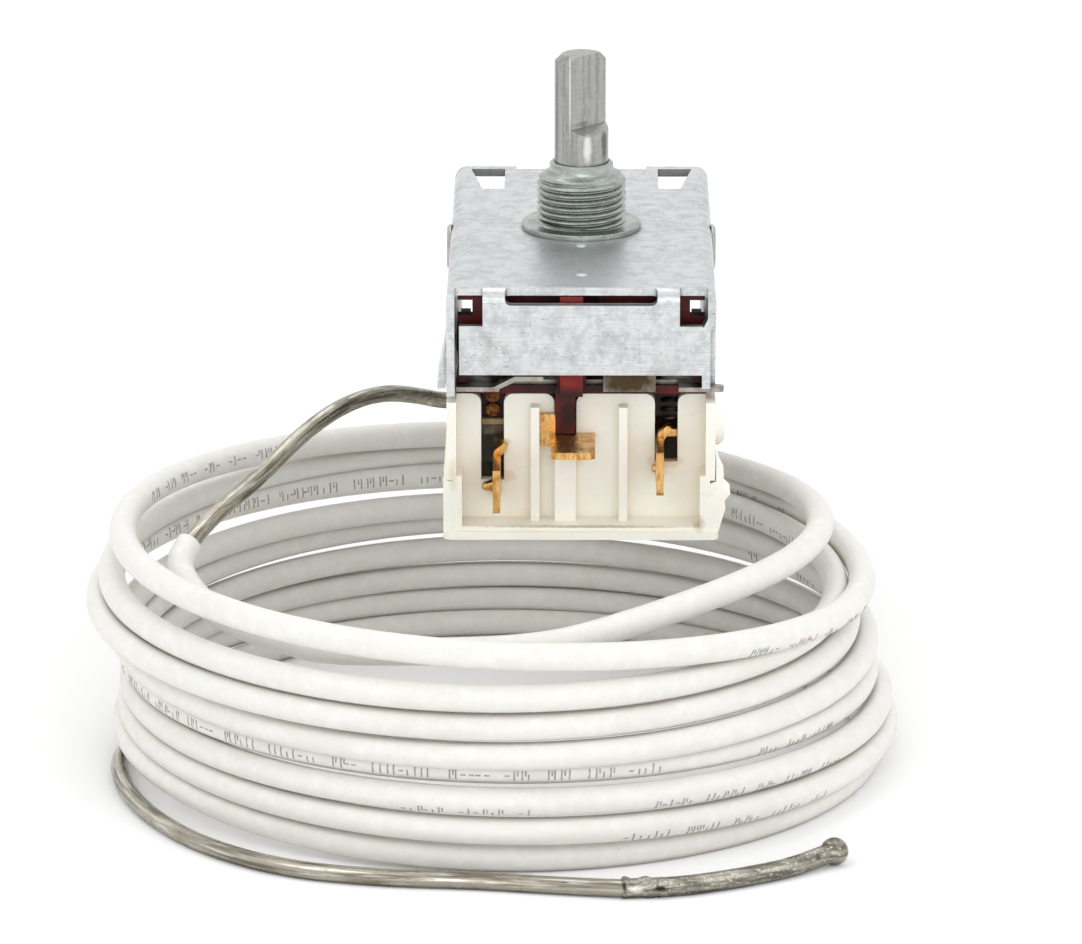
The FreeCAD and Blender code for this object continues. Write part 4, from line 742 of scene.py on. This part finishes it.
@dataclass
class PrintedMarks:
    """Plain grey dashes and ticks along the sleeve.

    They bend round the sleeve and follow its route. No operator of edit mode does both, so their corners are
    worked out.

    Attributes:
        shop: Where the material comes from.
        route: Points of the sleeve's centreline, in mm.
        sleeve_diameter: Diameter of the sleeve, in mm.
        runs: Stretches that carry marks.
        pitch: Distance from one tick to the next, in mm.
        height: Height of a tall tick round the sleeve, in mm.
        stroke: Width of a tick, in mm.
        dash: Length of a dash along the sleeve, in mm.
        spread: Least and most that a pitch varies, as shares of it.
        group_gap: Gap after a group of marks, in pitches.
        tall_below: A draw below this gives a tall tick.
        short_below: A draw from there to this gives a short one, and the rest give a dash.
        pair_chance: Chance that a tall tick has a short one beside it.
        pair_gap: Distance from a tall tick to the short one beside it, in mm.
        facet: About the size of one face round the sleeve, in mm.
        sink: Depth of a mark's underside in the sleeve, in mm.
        proud: Height of its face over the sleeve, in mm.
        seed: Seed of the order of ticks.
        points: Corners made so far, in mm.
        faces: Faces made so far.
    """

    shop: MaterialShop
    route: list[Vector]
    sleeve_diameter: float
    runs: tuple[MarkRun, ...] = (
        MarkRun(0.36, 0.80, 10.0, False), MarkRun(8.40, 9.0, 6.0, False), MarkRun(8.02, 8.34, 6.0, False),
        MarkRun(3.30, 3.72, -8.0, False), MarkRun(7.28, 7.50, 0.0, False), MarkRun(15.3, 15.6, 0.0, False),
        MarkRun(17.2, 18.3, -8.0, True), MarkRun(22.3, 22.8, -34.0, True), MarkRun(22.0, 22.25, -40.0, True),
        MarkRun(26.3, 26.9, -34.0, True), MarkRun(18.6, 18.9, -28.0, True), MarkRun(2.3, 2.7, -34.0, True),
    )
    pitch: float = 0.78
    height: float = 1.2
    stroke: float = 0.17
    dash: float = 0.55
    spread: tuple[float, float] = (0.8, 1.15)
    group_gap: float = 1.8
    tall_below: float = 0.55
    short_below: float = 0.8
    pair_chance: float = 0.5
    pair_gap: float = 0.36
    facet: float = 0.3
    sink: float = 0.06
    proud: float = 0.012
    seed: int = 4
    points: list[Vector] = field(default_factory=list)
    faces: list[tuple[int, ...]] = field(default_factory=list)

    def build(self) -> bpy.types.Object:
        """Makes every dash and lets them ride with the sleeve.

        Returns:
            The dashes' object.
        """
        order = random.Random(self.seed)
        for run in self.runs:
            self._run(run, order)
        mesh = bpy.data.meshes.new("sleeve_print_marks")
        mesh.from_pydata([point * MM for point in self.points], [], self.faces)
        marks = placed("sleeve_print_marks", mesh)
        mesh.materials.append(self.shop.get(PRINT_INK))
        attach(marks, "case")
        return marks

    def _run(self, run: MarkRun, order: random.Random) -> None:
        """Makes the marks of one stretch, in groups with a gap after each.

        Args:
            run: Stretch of the sleeve.
            order: Source of the random draws.
        """
        controls = len(SLEEVE_START) + (4 * len(TURNS) + 1) * STEPS_PER_QUARTER + 1
        low, high = (
            round((len(SLEEVE_START) + round(place * STEPS_PER_QUARTER)) / controls * len(self.route))
            for place in (run.start, run.end))
        travelled = 0.0
        due = 0.0
        left_in_group = order.randint(4, 8)
        for index in range(low, high):
            start, end = self.route[index], self.route[index + 1]
            length = (end - start).length
            while due < travelled + length:
                if left_in_group:
                    centre = start.lerp(end, (due - travelled) / length)
                    self._mark(centre, (end - start).normalized(), run, order)
                    left_in_group -= 1
                    due += self.pitch * order.uniform(*self.spread)
                else:
                    left_in_group = order.randint(4, 9)
                    due += self.pitch * self.group_gap
            travelled += length

    def _mark(self, centre: Vector, along: Vector, run: MarkRun, order: random.Random) -> None:
        """Makes a tall tick, with or without a short one beside it, or a short tick, or a dash.

        Args:
            centre: Place on the sleeve's centreline, in mm.
            along: Direction of the sleeve there.
            run: Stretch that the mark is in.
            order: Source of the random draws.
        """
        side = Vector((centre.x - COIL_CENTRE.x, centre.y - COIL_CENTRE.y, 0.0)).normalized()
        if not run.outward:
            side = -side
        side = (side - along * side.dot(along)).normalized()
        up = Vector((0.0, 0.0, 1.0))
        up = (up - along * up.dot(along) - side * up.dot(side)).normalized()
        axes = (along, side, up)
        kind = order.random()
        if kind < self.tall_below:
            self._bar(centre, axes, run.lift, self.stroke, self.height, 0.0)
            if order.random() < self.pair_chance:
                beside = centre + along * self.pair_gap
                self._bar(beside, axes, run.lift, self.stroke, self.height * 0.5, 0.25)
        elif kind < self.short_below:
            self._bar(centre, axes, run.lift, self.stroke, self.height * 0.6, -0.2)
        else:
            self._bar(centre, axes, run.lift, self.dash, self.stroke, 0.0)

    def _bar(self, centre: Vector, axes: tuple[Vector, Vector, Vector], lift: float, width: float,
             height: float, shift: float) -> None:
        """Makes one bar, bent round the sleeve.

        Args:
            centre: Place on the sleeve's centreline, in mm.
            axes: Directions along the sleeve, to its side and up.
            lift: Height of its middle, in degrees above the sleeve's side.
            width: Its size along the sleeve, in mm.
            height: Its size round the sleeve, in mm.
            shift: How far it is moved up from its middle, in mm.
        """
        along, side, up = axes
        radius = self.sleeve_diameter / 2
        middle = math.radians(lift) + shift / radius
        half = height / 2 / radius
        pieces = max(1, round(height / self.facet))
        base = len(self.points)
        for step in range(pieces + 1):
            angle = middle - half + 2 * half * step / pieces
            out = side * math.cos(angle) + up * math.sin(angle)
            for reach in (radius - self.sink, radius + self.proud):
                for edge in (-0.5, 0.5):
                    self.points.append(centre + out * reach + along * edge * width)
        for step in range(pieces):
            a = base + 4 * step
            b = a + 4
            self.faces.extend(((a, a + 1, b + 1, b), (a + 3, a + 2, b + 2, b + 3),
                               (a + 2, a, b, b + 2), (a + 1, a + 3, b + 3, b + 1)))
        end = base + 4 * pieces
        self.faces.extend(((base, base + 2, base + 3, base + 1), (end, end + 1, end + 3, end + 2)))


@dataclass
class BulbCrimp:
    """The folded and soldered joint where the thin tube meets the bulb.

    Attributes:
        shop: Where the material comes from.
        start: Where the joint starts, in mm.
        heading: Direction along the bulb.
        profile: Pairs of radius and distance along the joint, in mm.
        sides: Faces round it.
        lumps: Share of the radius by which the solder swells, and how fast it varies, per mm.
        fold_place: Distance along the joint of its fold, in mm.
        fold_slope: How far the fold leans along, per mm across.
        fold_width: Half width of the fold, in mm.
        fold_depth: Depth of the fold, as a share of the radius.
        flatness: Share of its height that the joint keeps.
        lowest: Lowest point of its underside, in mm from its middle.
    """

    shop: MaterialShop
    start: Vector = field(default_factory=lambda: Vector((4.3, -67.58, -54.12)))
    heading: Vector = field(default_factory=lambda: Vector((1.0, 0.085, 0.0)).normalized())
    profile: tuple[tuple[float, float], ...] = (
        (0.7, 0.0), (1.08, 0.02), (1.2, 0.35), (1.1, 0.7), (0.98, 1.2), (1.1, 1.9), (1.2, 2.5), (1.16, 3.1),
        (1.02, 3.5), (1.2, 3.8), (1.18, 4.3), (1.07, 4.8), (0.8, 5.0),
    )
    sides: int = 40
    lumps: tuple[tuple[float, tuple[float, float, float]], ...] = (
        (0.16, (1.1, 1.1, 0.9)), (0.07, (3.0, 3.0, 2.6)),
    )
    fold_place: float = 2.9
    fold_slope: float = 0.7
    fold_width: float = 0.35
    fold_depth: float = 0.12
    flatness: float = 0.95
    lowest: float = -1.0

    def build(self) -> bpy.types.Object:
        """Makes the joint and lets it ride with the case.

        Returns:
            The joint's object.
        """
        joint = spun("bulb_crimp", self.profile, False, self.sides, 2)
        with editing(joint):
            bpy.ops.mesh.remove_doubles(threshold=DOUBLES)
            bpy.ops.mesh.select_all(action="DESELECT")
            bpy.ops.mesh.select_non_manifold()
            bpy.ops.mesh.fill_holes(sides=0)
            bpy.ops.mesh.select_all(action="SELECT")
            bpy.ops.mesh.normals_make_consistent(inside=False)
        across = self.heading.cross(Vector((0.0, 0.0, 1.0))).normalized()
        for vertex in joint.data.vertices:
            x, y, z = vertex.co / MM
            swell = 1.0
            for share, pace in self.lumps:
                swell += share * noise.noise(Vector((x * pace[0], y * pace[1], z * pace[2])))
            fold_distance = abs(z - self.fold_place - self.fold_slope * y) / self.fold_width
            swell -= self.fold_depth * max(0.0, 1.0 - fold_distance)
            height = max(y * swell * self.flatness, self.lowest)
            place = self.start + self.heading * z + across * x * swell + Vector((0.0, 0.0, height))
            vertex.co = place * MM
        with editing(joint):
            bpy.ops.mesh.normals_make_consistent(inside=False)
        smooth(joint, 40.0)
        joint.data.materials.append(self.shop.get(BULB_METAL))
        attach(joint, "case")
        return joint


@dataclass
class Capillary:
    """The bare tube, its white sleeve wound in a coil, and the sensing bulb.

    Attributes:
        shop: Where the materials come from.
        tube_diameter: Diameter of the bare tube, in mm.
        sleeve_diameter: Diameter of the sleeve, in mm.
    """

    shop: MaterialShop
    tube_diameter: float = 1.9
    sleeve_diameter: float = 3.0

    def build(self) -> list[bpy.types.Object]:
        """Returns:
            The cords and the pieces on them.
        """
        lead = self._cord("capillary_line", LEAD_POINTS, self.tube_diameter, TUBE_METAL, "capillary_lead")
        sleeve = self._cord("sleeve_line", (*SLEEVE_START, *coil_points()), self.sleeve_diameter, SLEEVE,
                            "sleeve_lead", "sleeve_coil")
        tail = self._cord("capillary_tail_line", TAIL_POINTS, self.tube_diameter, TUBE_METAL,
                          "capillary_tail")
        marks = PrintedMarks(self.shop, cord_centreline(sleeve), self.sleeve_diameter).build()
        crimp = BulbCrimp(self.shop).build()
        return [lead, sleeve, tail, marks, crimp]

    def _cord(self, name: str, points: tuple, diameter: float, finish: Finish,
              *nodes: str) -> bpy.types.Object:
        """Makes a cord in the place of its CAD nodes.

        Args:
            name: Name of the piece.
            points: Control points in mm.
            diameter: Its diameter in mm.
            finish: Its finish.
            nodes: CAD nodes that it stands for.

        Returns:
            The curve object.
        """
        cord = make_cord(name, points, diameter)
        cord.data.materials.append(self.shop.get(finish))
        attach(cord, "case")
        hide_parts(*nodes)
        return cord


# Modelling


def alone(piece: bpy.types.Object) -> None:
    """Selects one object only and makes it the active one.

    Args:
        piece: Object to select.
    """
    bpy.ops.object.select_all(action="DESELECT")
    piece.select_set(True)
    bpy.context.view_layer.objects.active = piece


@contextmanager
def editing(piece: bpy.types.Object) -> Iterator[None]:
    """Holds one object in edit mode, with all of it selected at first.

    Args:
        piece: Object to edit.

    Returns:
        The context in which the object is in edit mode.
    """
    alone(piece)
    bpy.ops.object.mode_set(mode="EDIT")
    bpy.ops.mesh.select_all(action="SELECT")
    yield
    bpy.ops.object.mode_set(mode="OBJECT")


def outwards(piece: bpy.types.Object) -> None:
    """Merges a piece's doubles and turns its faces outwards.

    Args:
        piece: Object to mend.
    """
    with editing(piece):
        bpy.ops.mesh.remove_doubles(threshold=DOUBLES)
        bpy.ops.mesh.normals_make_consistent(inside=False)


def finish_modifier(piece: bpy.types.Object, kind: str, **settings: object) -> None:
    """Adds a modifier, sets it and applies it.

    Args:
        piece: Object to change.
        kind: Kind of modifier.
        settings: Its settings.
    """
    alone(piece)
    modifier = piece.modifiers.new(kind.lower(), kind)
    for key, value in settings.items():
        setattr(modifier, key, value)
    bpy.ops.object.modifier_apply(modifier=modifier.name)


def outline_object(name: str, outline: tuple[tuple[float, float], ...], closed: bool) -> bpy.types.Object:
    """Makes an object of edges only, in the XZ plane.

    No primitive has a turned part's outline, so its corners are laid down at once, for a modifier to spin.

    Args:
        name: Name of the object.
        outline: Radius and height pairs, in mm.
        closed: Whether the last point joins the first.

    Returns:
        The new object.
    """
    mesh = bpy.data.meshes.new(name)
    count = len(outline)
    edges = [(index, (index + 1) % count) for index in range(count if closed else count - 1)]
    mesh.from_pydata([(radius * MM, 0.0, height * MM) for radius, height in outline], edges, [])
    return placed(name, mesh)


def spun(name: str, outline: tuple[tuple[float, float], ...], closed: bool, sides: int,
         divisions: int = 0) -> bpy.types.Object:
    """Turns an outline round the Z axis.

    Args:
        name: Name of the object.
        outline: Radius and height pairs, in mm.
        closed: Whether the last point joins the first.
        sides: Faces round it.
        divisions: How often each stretch of the outline is halved first.

    Returns:
        The turned object.
    """
    piece = outline_object(name, outline, closed)
    if divisions:
        finish_modifier(piece, "SUBSURF", levels=divisions, render_levels=divisions,
                        subdivision_type="SIMPLE")
    finish_modifier(piece, "SCREW", angle=math.tau, steps=sides, render_steps=sides, use_merge_vertices=True,
                    merge_threshold=DOUBLES, use_normal_calculate=True)
    return piece


def joined(name: str, pieces: list[bpy.types.Object]) -> bpy.types.Object:
    """Joins objects into the first one.

    Args:
        name: Name of the result.
        pieces: Objects to join.

    Returns:
        The joined object.
    """
    alone(pieces[0])
    for piece in pieces[1:]:
        piece.select_set(True)
    bpy.ops.object.join()
    pieces[0].name = name
    return pieces[0]


def smooth(piece: bpy.types.Object, angle: float) -> None:
    """Shades an object smooth but for its sharp edges.

    Args:
        piece: Object to shade.
        angle: Largest angle shaded smooth, in degrees.
    """
    alone(piece)
    bpy.ops.object.shade_smooth_by_angle(angle=math.radians(angle))


# Panel bush


@dataclass
class PanelBush:
    """The turned bush with its cut thread, which stands for the plain CAD bush.

    Attributes:
        shop: Where its material comes from.
        outline: Radius and height pairs of the turned body, in mm.
        pitch: Pitch of the thread, in mm.
        crest: Radius of the thread's crests, in mm.
        root: Radius of its roots, in mm.
        rounding: How far the crests' shoulders lie below them, in mm.
        foot: Height at which the thread starts, in mm.
        top: Height at which it ends, in mm.
        lead_in: Height at which its crests start to fade, in mm.
        steps: Faces round one turn.
    """

    shop: MaterialShop
    outline: tuple[tuple[float, float], ...] = (
        (3.05, -2.1), (4.7, -2.1), (4.7, -1.5), (4.0, -1.5), (4.0, -0.6), (6.65, -0.6), (6.65, -0.08),
        (6.57, 0.0), (5.3, 0.0), (5.0, 0.12), (4.75, 0.4), (4.5, 0.5), (4.5, 5.5), (4.3, 5.62),
        (3.95, 5.72), (3.62, 5.95), (3.55, 6.1), (3.55, 6.75), (3.3, 7.0), (3.05, 7.0),
    )
    pitch: float = 0.75
    crest: float = 5.0
    root: float = 4.52
    rounding: float = 0.03
    foot: float = 0.25
    top: float = 5.55
    lead_in: float = 5.0
    steps: int = 72

    def build(self) -> list[bpy.types.Object]:
        """Makes the bush, dresses it and puts it in the CAD bush's place.

        Returns:
            The bush, alone in a list.
        """
        body = spun("bush_body", self.outline, True, self.steps)
        outwards(body)
        bush = joined("panel_bush_turned", [body, self._thread()])
        smooth(bush, 28.0)
        bush.data.materials.append(self.shop.get(ZINC_BUSH))
        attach(bush, "case")
        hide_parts("threaded_bush")
        return [bush]

    def _thread(self) -> bpy.types.Object:
        """Makes the thread as one ridge wound up the bush and cut off level at both ends.

        Returns:
            The thread's object.
        """
        rise = self.pitch
        shoulder = self.crest - self.rounding
        ridge = ((self.root, 0.0), (self.root, 0.1 * rise), (shoulder, 0.44 * rise), (self.crest, 0.5 * rise),
                 (shoulder, 0.56 * rise), (self.root, 0.9 * rise), (self.root, rise))
        thread = outline_object("bush_thread", ridge, False)
        thread.data.transform(Matrix.Translation((0.0, 0.0, -rise * MM)))
        turns = math.ceil((self.top + 2 * rise) / rise)
        finish_modifier(thread, "SCREW", angle=math.tau, screw_offset=rise * MM, iterations=turns,
                        steps=self.steps, render_steps=self.steps, use_normal_calculate=True)
        with editing(thread):
            bpy.ops.mesh.remove_doubles(threshold=DOUBLES)
            for height, keep_below in ((self.foot, False), (self.top, True)):
                bpy.ops.mesh.select_all(action="SELECT")
                bpy.ops.mesh.bisect(plane_co=(0, 0, height * MM), plane_no=(0, 0, 1), use_fill=True,
                                    clear_outer=keep_below, clear_inner=not keep_below, threshold=1e-8)
        for vertex in thread.data.vertices:
            reach = math.hypot(vertex.co.x, vertex.co.y)
            most = (self.crest - max(0.0, vertex.co.z / MM - self.lead_in)) * MM
            if reach > most:
                vertex.co.x *= most / reach
                vertex.co.y *= most / reach
        outwards(thread)
        return thread


# Blade nubs


@dataclass
class BladeNubs:
    """The small punched nubs at the roots of the outer blades.

    Attributes:
        shop: Where the material comes from.
        nubs: Name, centre in mm, reach to the left and height of each.
        depth: Their depth along Y, in mm.
        taper: Share of its height that a nub keeps at its left end.
        rounding: Radius of their edges, in mm.
    """

    shop: MaterialShop
    nubs: tuple[tuple[str, tuple[float, float, float], float, float], ...] = (
        ("blade_nub_left", (-9.75, -24.4, -23.45), 1.05, 1.4),
        ("blade_nub_right", (8.3, -24.4, -21.4), 0.6, 1.3),
    )
    depth: float = 1.3
    taper: float = 0.3
    rounding: float = 0.12

    def build(self) -> list[bpy.types.Object]:
        """Makes both nubs of brass and lets them ride with the case.

        Returns:
            The two nubs.
        """
        made = []
        for name, centre, reach, height in self.nubs:
            bpy.ops.object.select_all(action="DESELECT")
            bpy.ops.mesh.primitive_cube_add(size=MM, location=Vector(centre) * MM)
            nub = bpy.context.object
            nub.name = name
            nub.data.name = name
            for vertex in nub.data.vertices:
                left = vertex.co.x < 0
                vertex.co.x *= 2 * reach if left else 1.0
                vertex.co.y *= self.depth
                vertex.co.z *= height * (self.taper if left else 1.0)
            bpy.ops.object.transform_apply(location=True, rotation=False, scale=False)
            finish_modifier(nub, "BEVEL", width=self.rounding * MM, segments=3)
            smooth(nub, 40.0)
            nub.data.materials.append(self.shop.get(BRASS))
            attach(nub, "case")
            made.append(nub)
        return made


# CAD nodes


# Angles in degrees past which a node's edge is shaded sharp, and past which it is softened.
NODE_SHARP = 32
NODE_SOFTENED = 50


def dress_nodes(shop: MaterialShop) -> None:
    """Gives every CAD node its finish, smooth shading and softened edges.

    Args:
        shop: Where the materials come from.
    """
    for name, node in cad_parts.items():
        finish = NODE_FINISHES.get(name, PLAIN_STEEL)
        node.data.materials.clear()
        node.data.materials.append(shop.get(finish))
        LOG.info("%s is dressed in %s", name, finish.name)
        node.data.shade_smooth()
        node.data.set_sharp_from_angle(angle=math.radians(NODE_SHARP))
        if finish.bevel and not node.hide_render:
            bevel = node.modifiers.new("softened_edges", "BEVEL")
            bevel.width = finish.bevel * MM
            bevel.segments = 2
            bevel.limit_method = "ANGLE"
            bevel.angle_limit = math.radians(NODE_SOFTENED)
            bevel.use_clamp_overlap = True
            bevel.harden_normals = True


# Studio


@dataclass(frozen=True)
class Lamp:
    """A soft box.

    Attributes:
        name: Its name.
        place: Where it hangs, in mm.
        aim: Point that it faces, in mm.
        size: Its side, in mm.
        power: Its power in watts.
    """

    name: str
    place: tuple[float, float, float]
    aim: tuple[float, float, float]
    size: float
    power: float


@dataclass
class Studio:
    """Floor, lamps, world and camera.

    Attributes:
        camera_place: Where the camera stands, in mm.
        camera_pitch: Its angle from straight down, in degrees.
        camera_yaw: Its turn to the left, in degrees.
        camera_lens: Its focal length, in mm.
        floor_level: Height of the floor, in mm.
        floor_size: Side of the floor, in m.
        floor_lift: Light that only the camera sees on the floor.
        room_light: Strength of the white room on the object.
        lamps: The soft boxes.
    """

    camera_place: tuple[float, float, float] = (-0.07, -716.2, 188.3)
    camera_pitch: float = 73.1
    camera_yaw: float = 0.355
    camera_lens: float = 220.36
    floor_level: float = -55.2
    floor_size: float = 6.0
    floor_lift: float = 0.03
    room_light: float = 0.92
    lamps: tuple[Lamp, ...] = (
        Lamp("key_box", (-520, -460, 800), (-5, -15, -25), 560, 1.0),
        Lamp("fill_box", (600, -420, 560), (0, -20, -30), 520, 0.85),
        Lamp("front_box", (60, -780, 60), (0, -40, -38), 620, 1.3),
        Lamp("top_box", (-60, 420, 900), (0, 60, -30), 800, 1.6),
    )

    def build(self) -> None:
        """Makes the studio."""
        bpy.ops.mesh.primitive_plane_add(size=self.floor_size, location=(0, 0, self.floor_level * MM))
        floor = bpy.context.object
        floor.name = "floor"
        floor.data.materials.append(self._floor_material())
        floor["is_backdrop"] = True
        for lamp in self.lamps:
            self._hang(lamp)
        self._world()
        self._camera()
        bpy.context.scene.view_settings.view_transform = "Standard"

    @staticmethod
    def _hang(lamp: Lamp) -> None:
        """Hangs a soft box and aims it.

        Args:
            lamp: The soft box.
        """
        data = bpy.data.lights.new(lamp.name, "AREA")
        data.size = lamp.size * MM
        data.energy = lamp.power
        light = placed(lamp.name, data)
        light.location = Vector(lamp.place) * MM
        direction = (Vector(lamp.aim) - Vector(lamp.place)).normalized()
        light.rotation_euler = direction.to_track_quat("-Z", "Y").to_euler()

    def _floor_material(self) -> bpy.types.Material:
        """Makes the floor's paint, which the camera sees a little brighter than it is.

        Returns:
            The floor's material.
        """
        material = bpy.data.materials.new(FLOOR_PAINT.name)
        tree = emptied(material)
        paint = add_node(tree, "ShaderNodeBsdfDiffuse", Color=linear(FLOOR_PAINT.colour),
                         Roughness=FLOOR_PAINT.roughness)
        strength = add_node(tree, "ShaderNodeMath", {"operation": "MULTIPLY"}, i0=self._seen(tree),
                            i1=self.floor_lift).outputs[0]
        lift = add_node(tree, "ShaderNodeEmission", Color=linear("#ffffff"), Strength=strength)
        both = add_node(tree, "ShaderNodeAddShader", i0=paint.outputs[0], i1=lift.outputs[0])
        add_node(tree, "ShaderNodeOutputMaterial", Surface=both.outputs[0])
        return material

    @staticmethod
    def _seen(tree: bpy.types.NodeTree) -> bpy.types.NodeSocket:
        """Tells what the camera sees, straight or in a gloss, from what only lights the object.

        Args:
            tree: Node tree to add to.

        Returns:
            Socket that is one where it is seen and zero elsewhere.
        """
        path = add_node(tree, "ShaderNodeLightPath")
        seen = path.outputs["Is Camera Ray"]
        for name in ("Is Glossy Ray", "Is Transmission Ray"):
            seen = add_node(tree, "ShaderNodeMath", {"operation": "MAXIMUM"}, i0=seen,
                            i1=path.outputs[name]).outputs[0]
        return seen

    def _world(self) -> None:
        """Makes the white room round the object."""
        world = bpy.data.worlds.new("studio_world")
        bpy.context.scene.world = world
        tree = emptied(world)
        strength = add_node(tree, "ShaderNodeMapRange", Value=self._seen(tree), To_Min=self.room_light,
                            To_Max=1.0).outputs[0]
        shader = add_node(tree, "ShaderNodeBackground", Color=linear("#ffffff"), Strength=strength)
        add_node(tree, "ShaderNodeOutputWorld", Surface=shader.outputs[0])

    def _camera(self) -> None:
        """Sets up the camera at the photograph's place and angle."""
        data = bpy.data.cameras.new("camera")
        data.lens = self.camera_lens
        data.clip_start = 0.01
        camera = placed("camera", data)
        camera.location = Vector(self.camera_place) * MM
        camera.rotation_euler = (math.radians(self.camera_pitch), 0.0, math.radians(self.camera_yaw))
        bpy.context.scene.camera = camera


def write_boxes() -> None:
    boxes = {"frame": FRAME_BOX, "finished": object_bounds()}
    for name, box in boxes.items():
        in_mm = [[round(value / MM, 2) for value in corner] for corner in box]
        LOG.info("box %s in mm: %s to %s", name, *in_mm)


def main() -> None:
    """Builds the looks of the thermostat and its studio."""
    logging.basicConfig(level=logging.INFO)
    shop = MaterialShop()
    for sub_assembly in (Capillary(shop), PanelBush(shop), BladeNubs(shop)):
        for piece in sub_assembly.build():
            LOG.info("%s is made", piece.name)
    dress_nodes(shop)
    Studio().build()
    write_boxes()


if __name__ == "__main__":
    main()
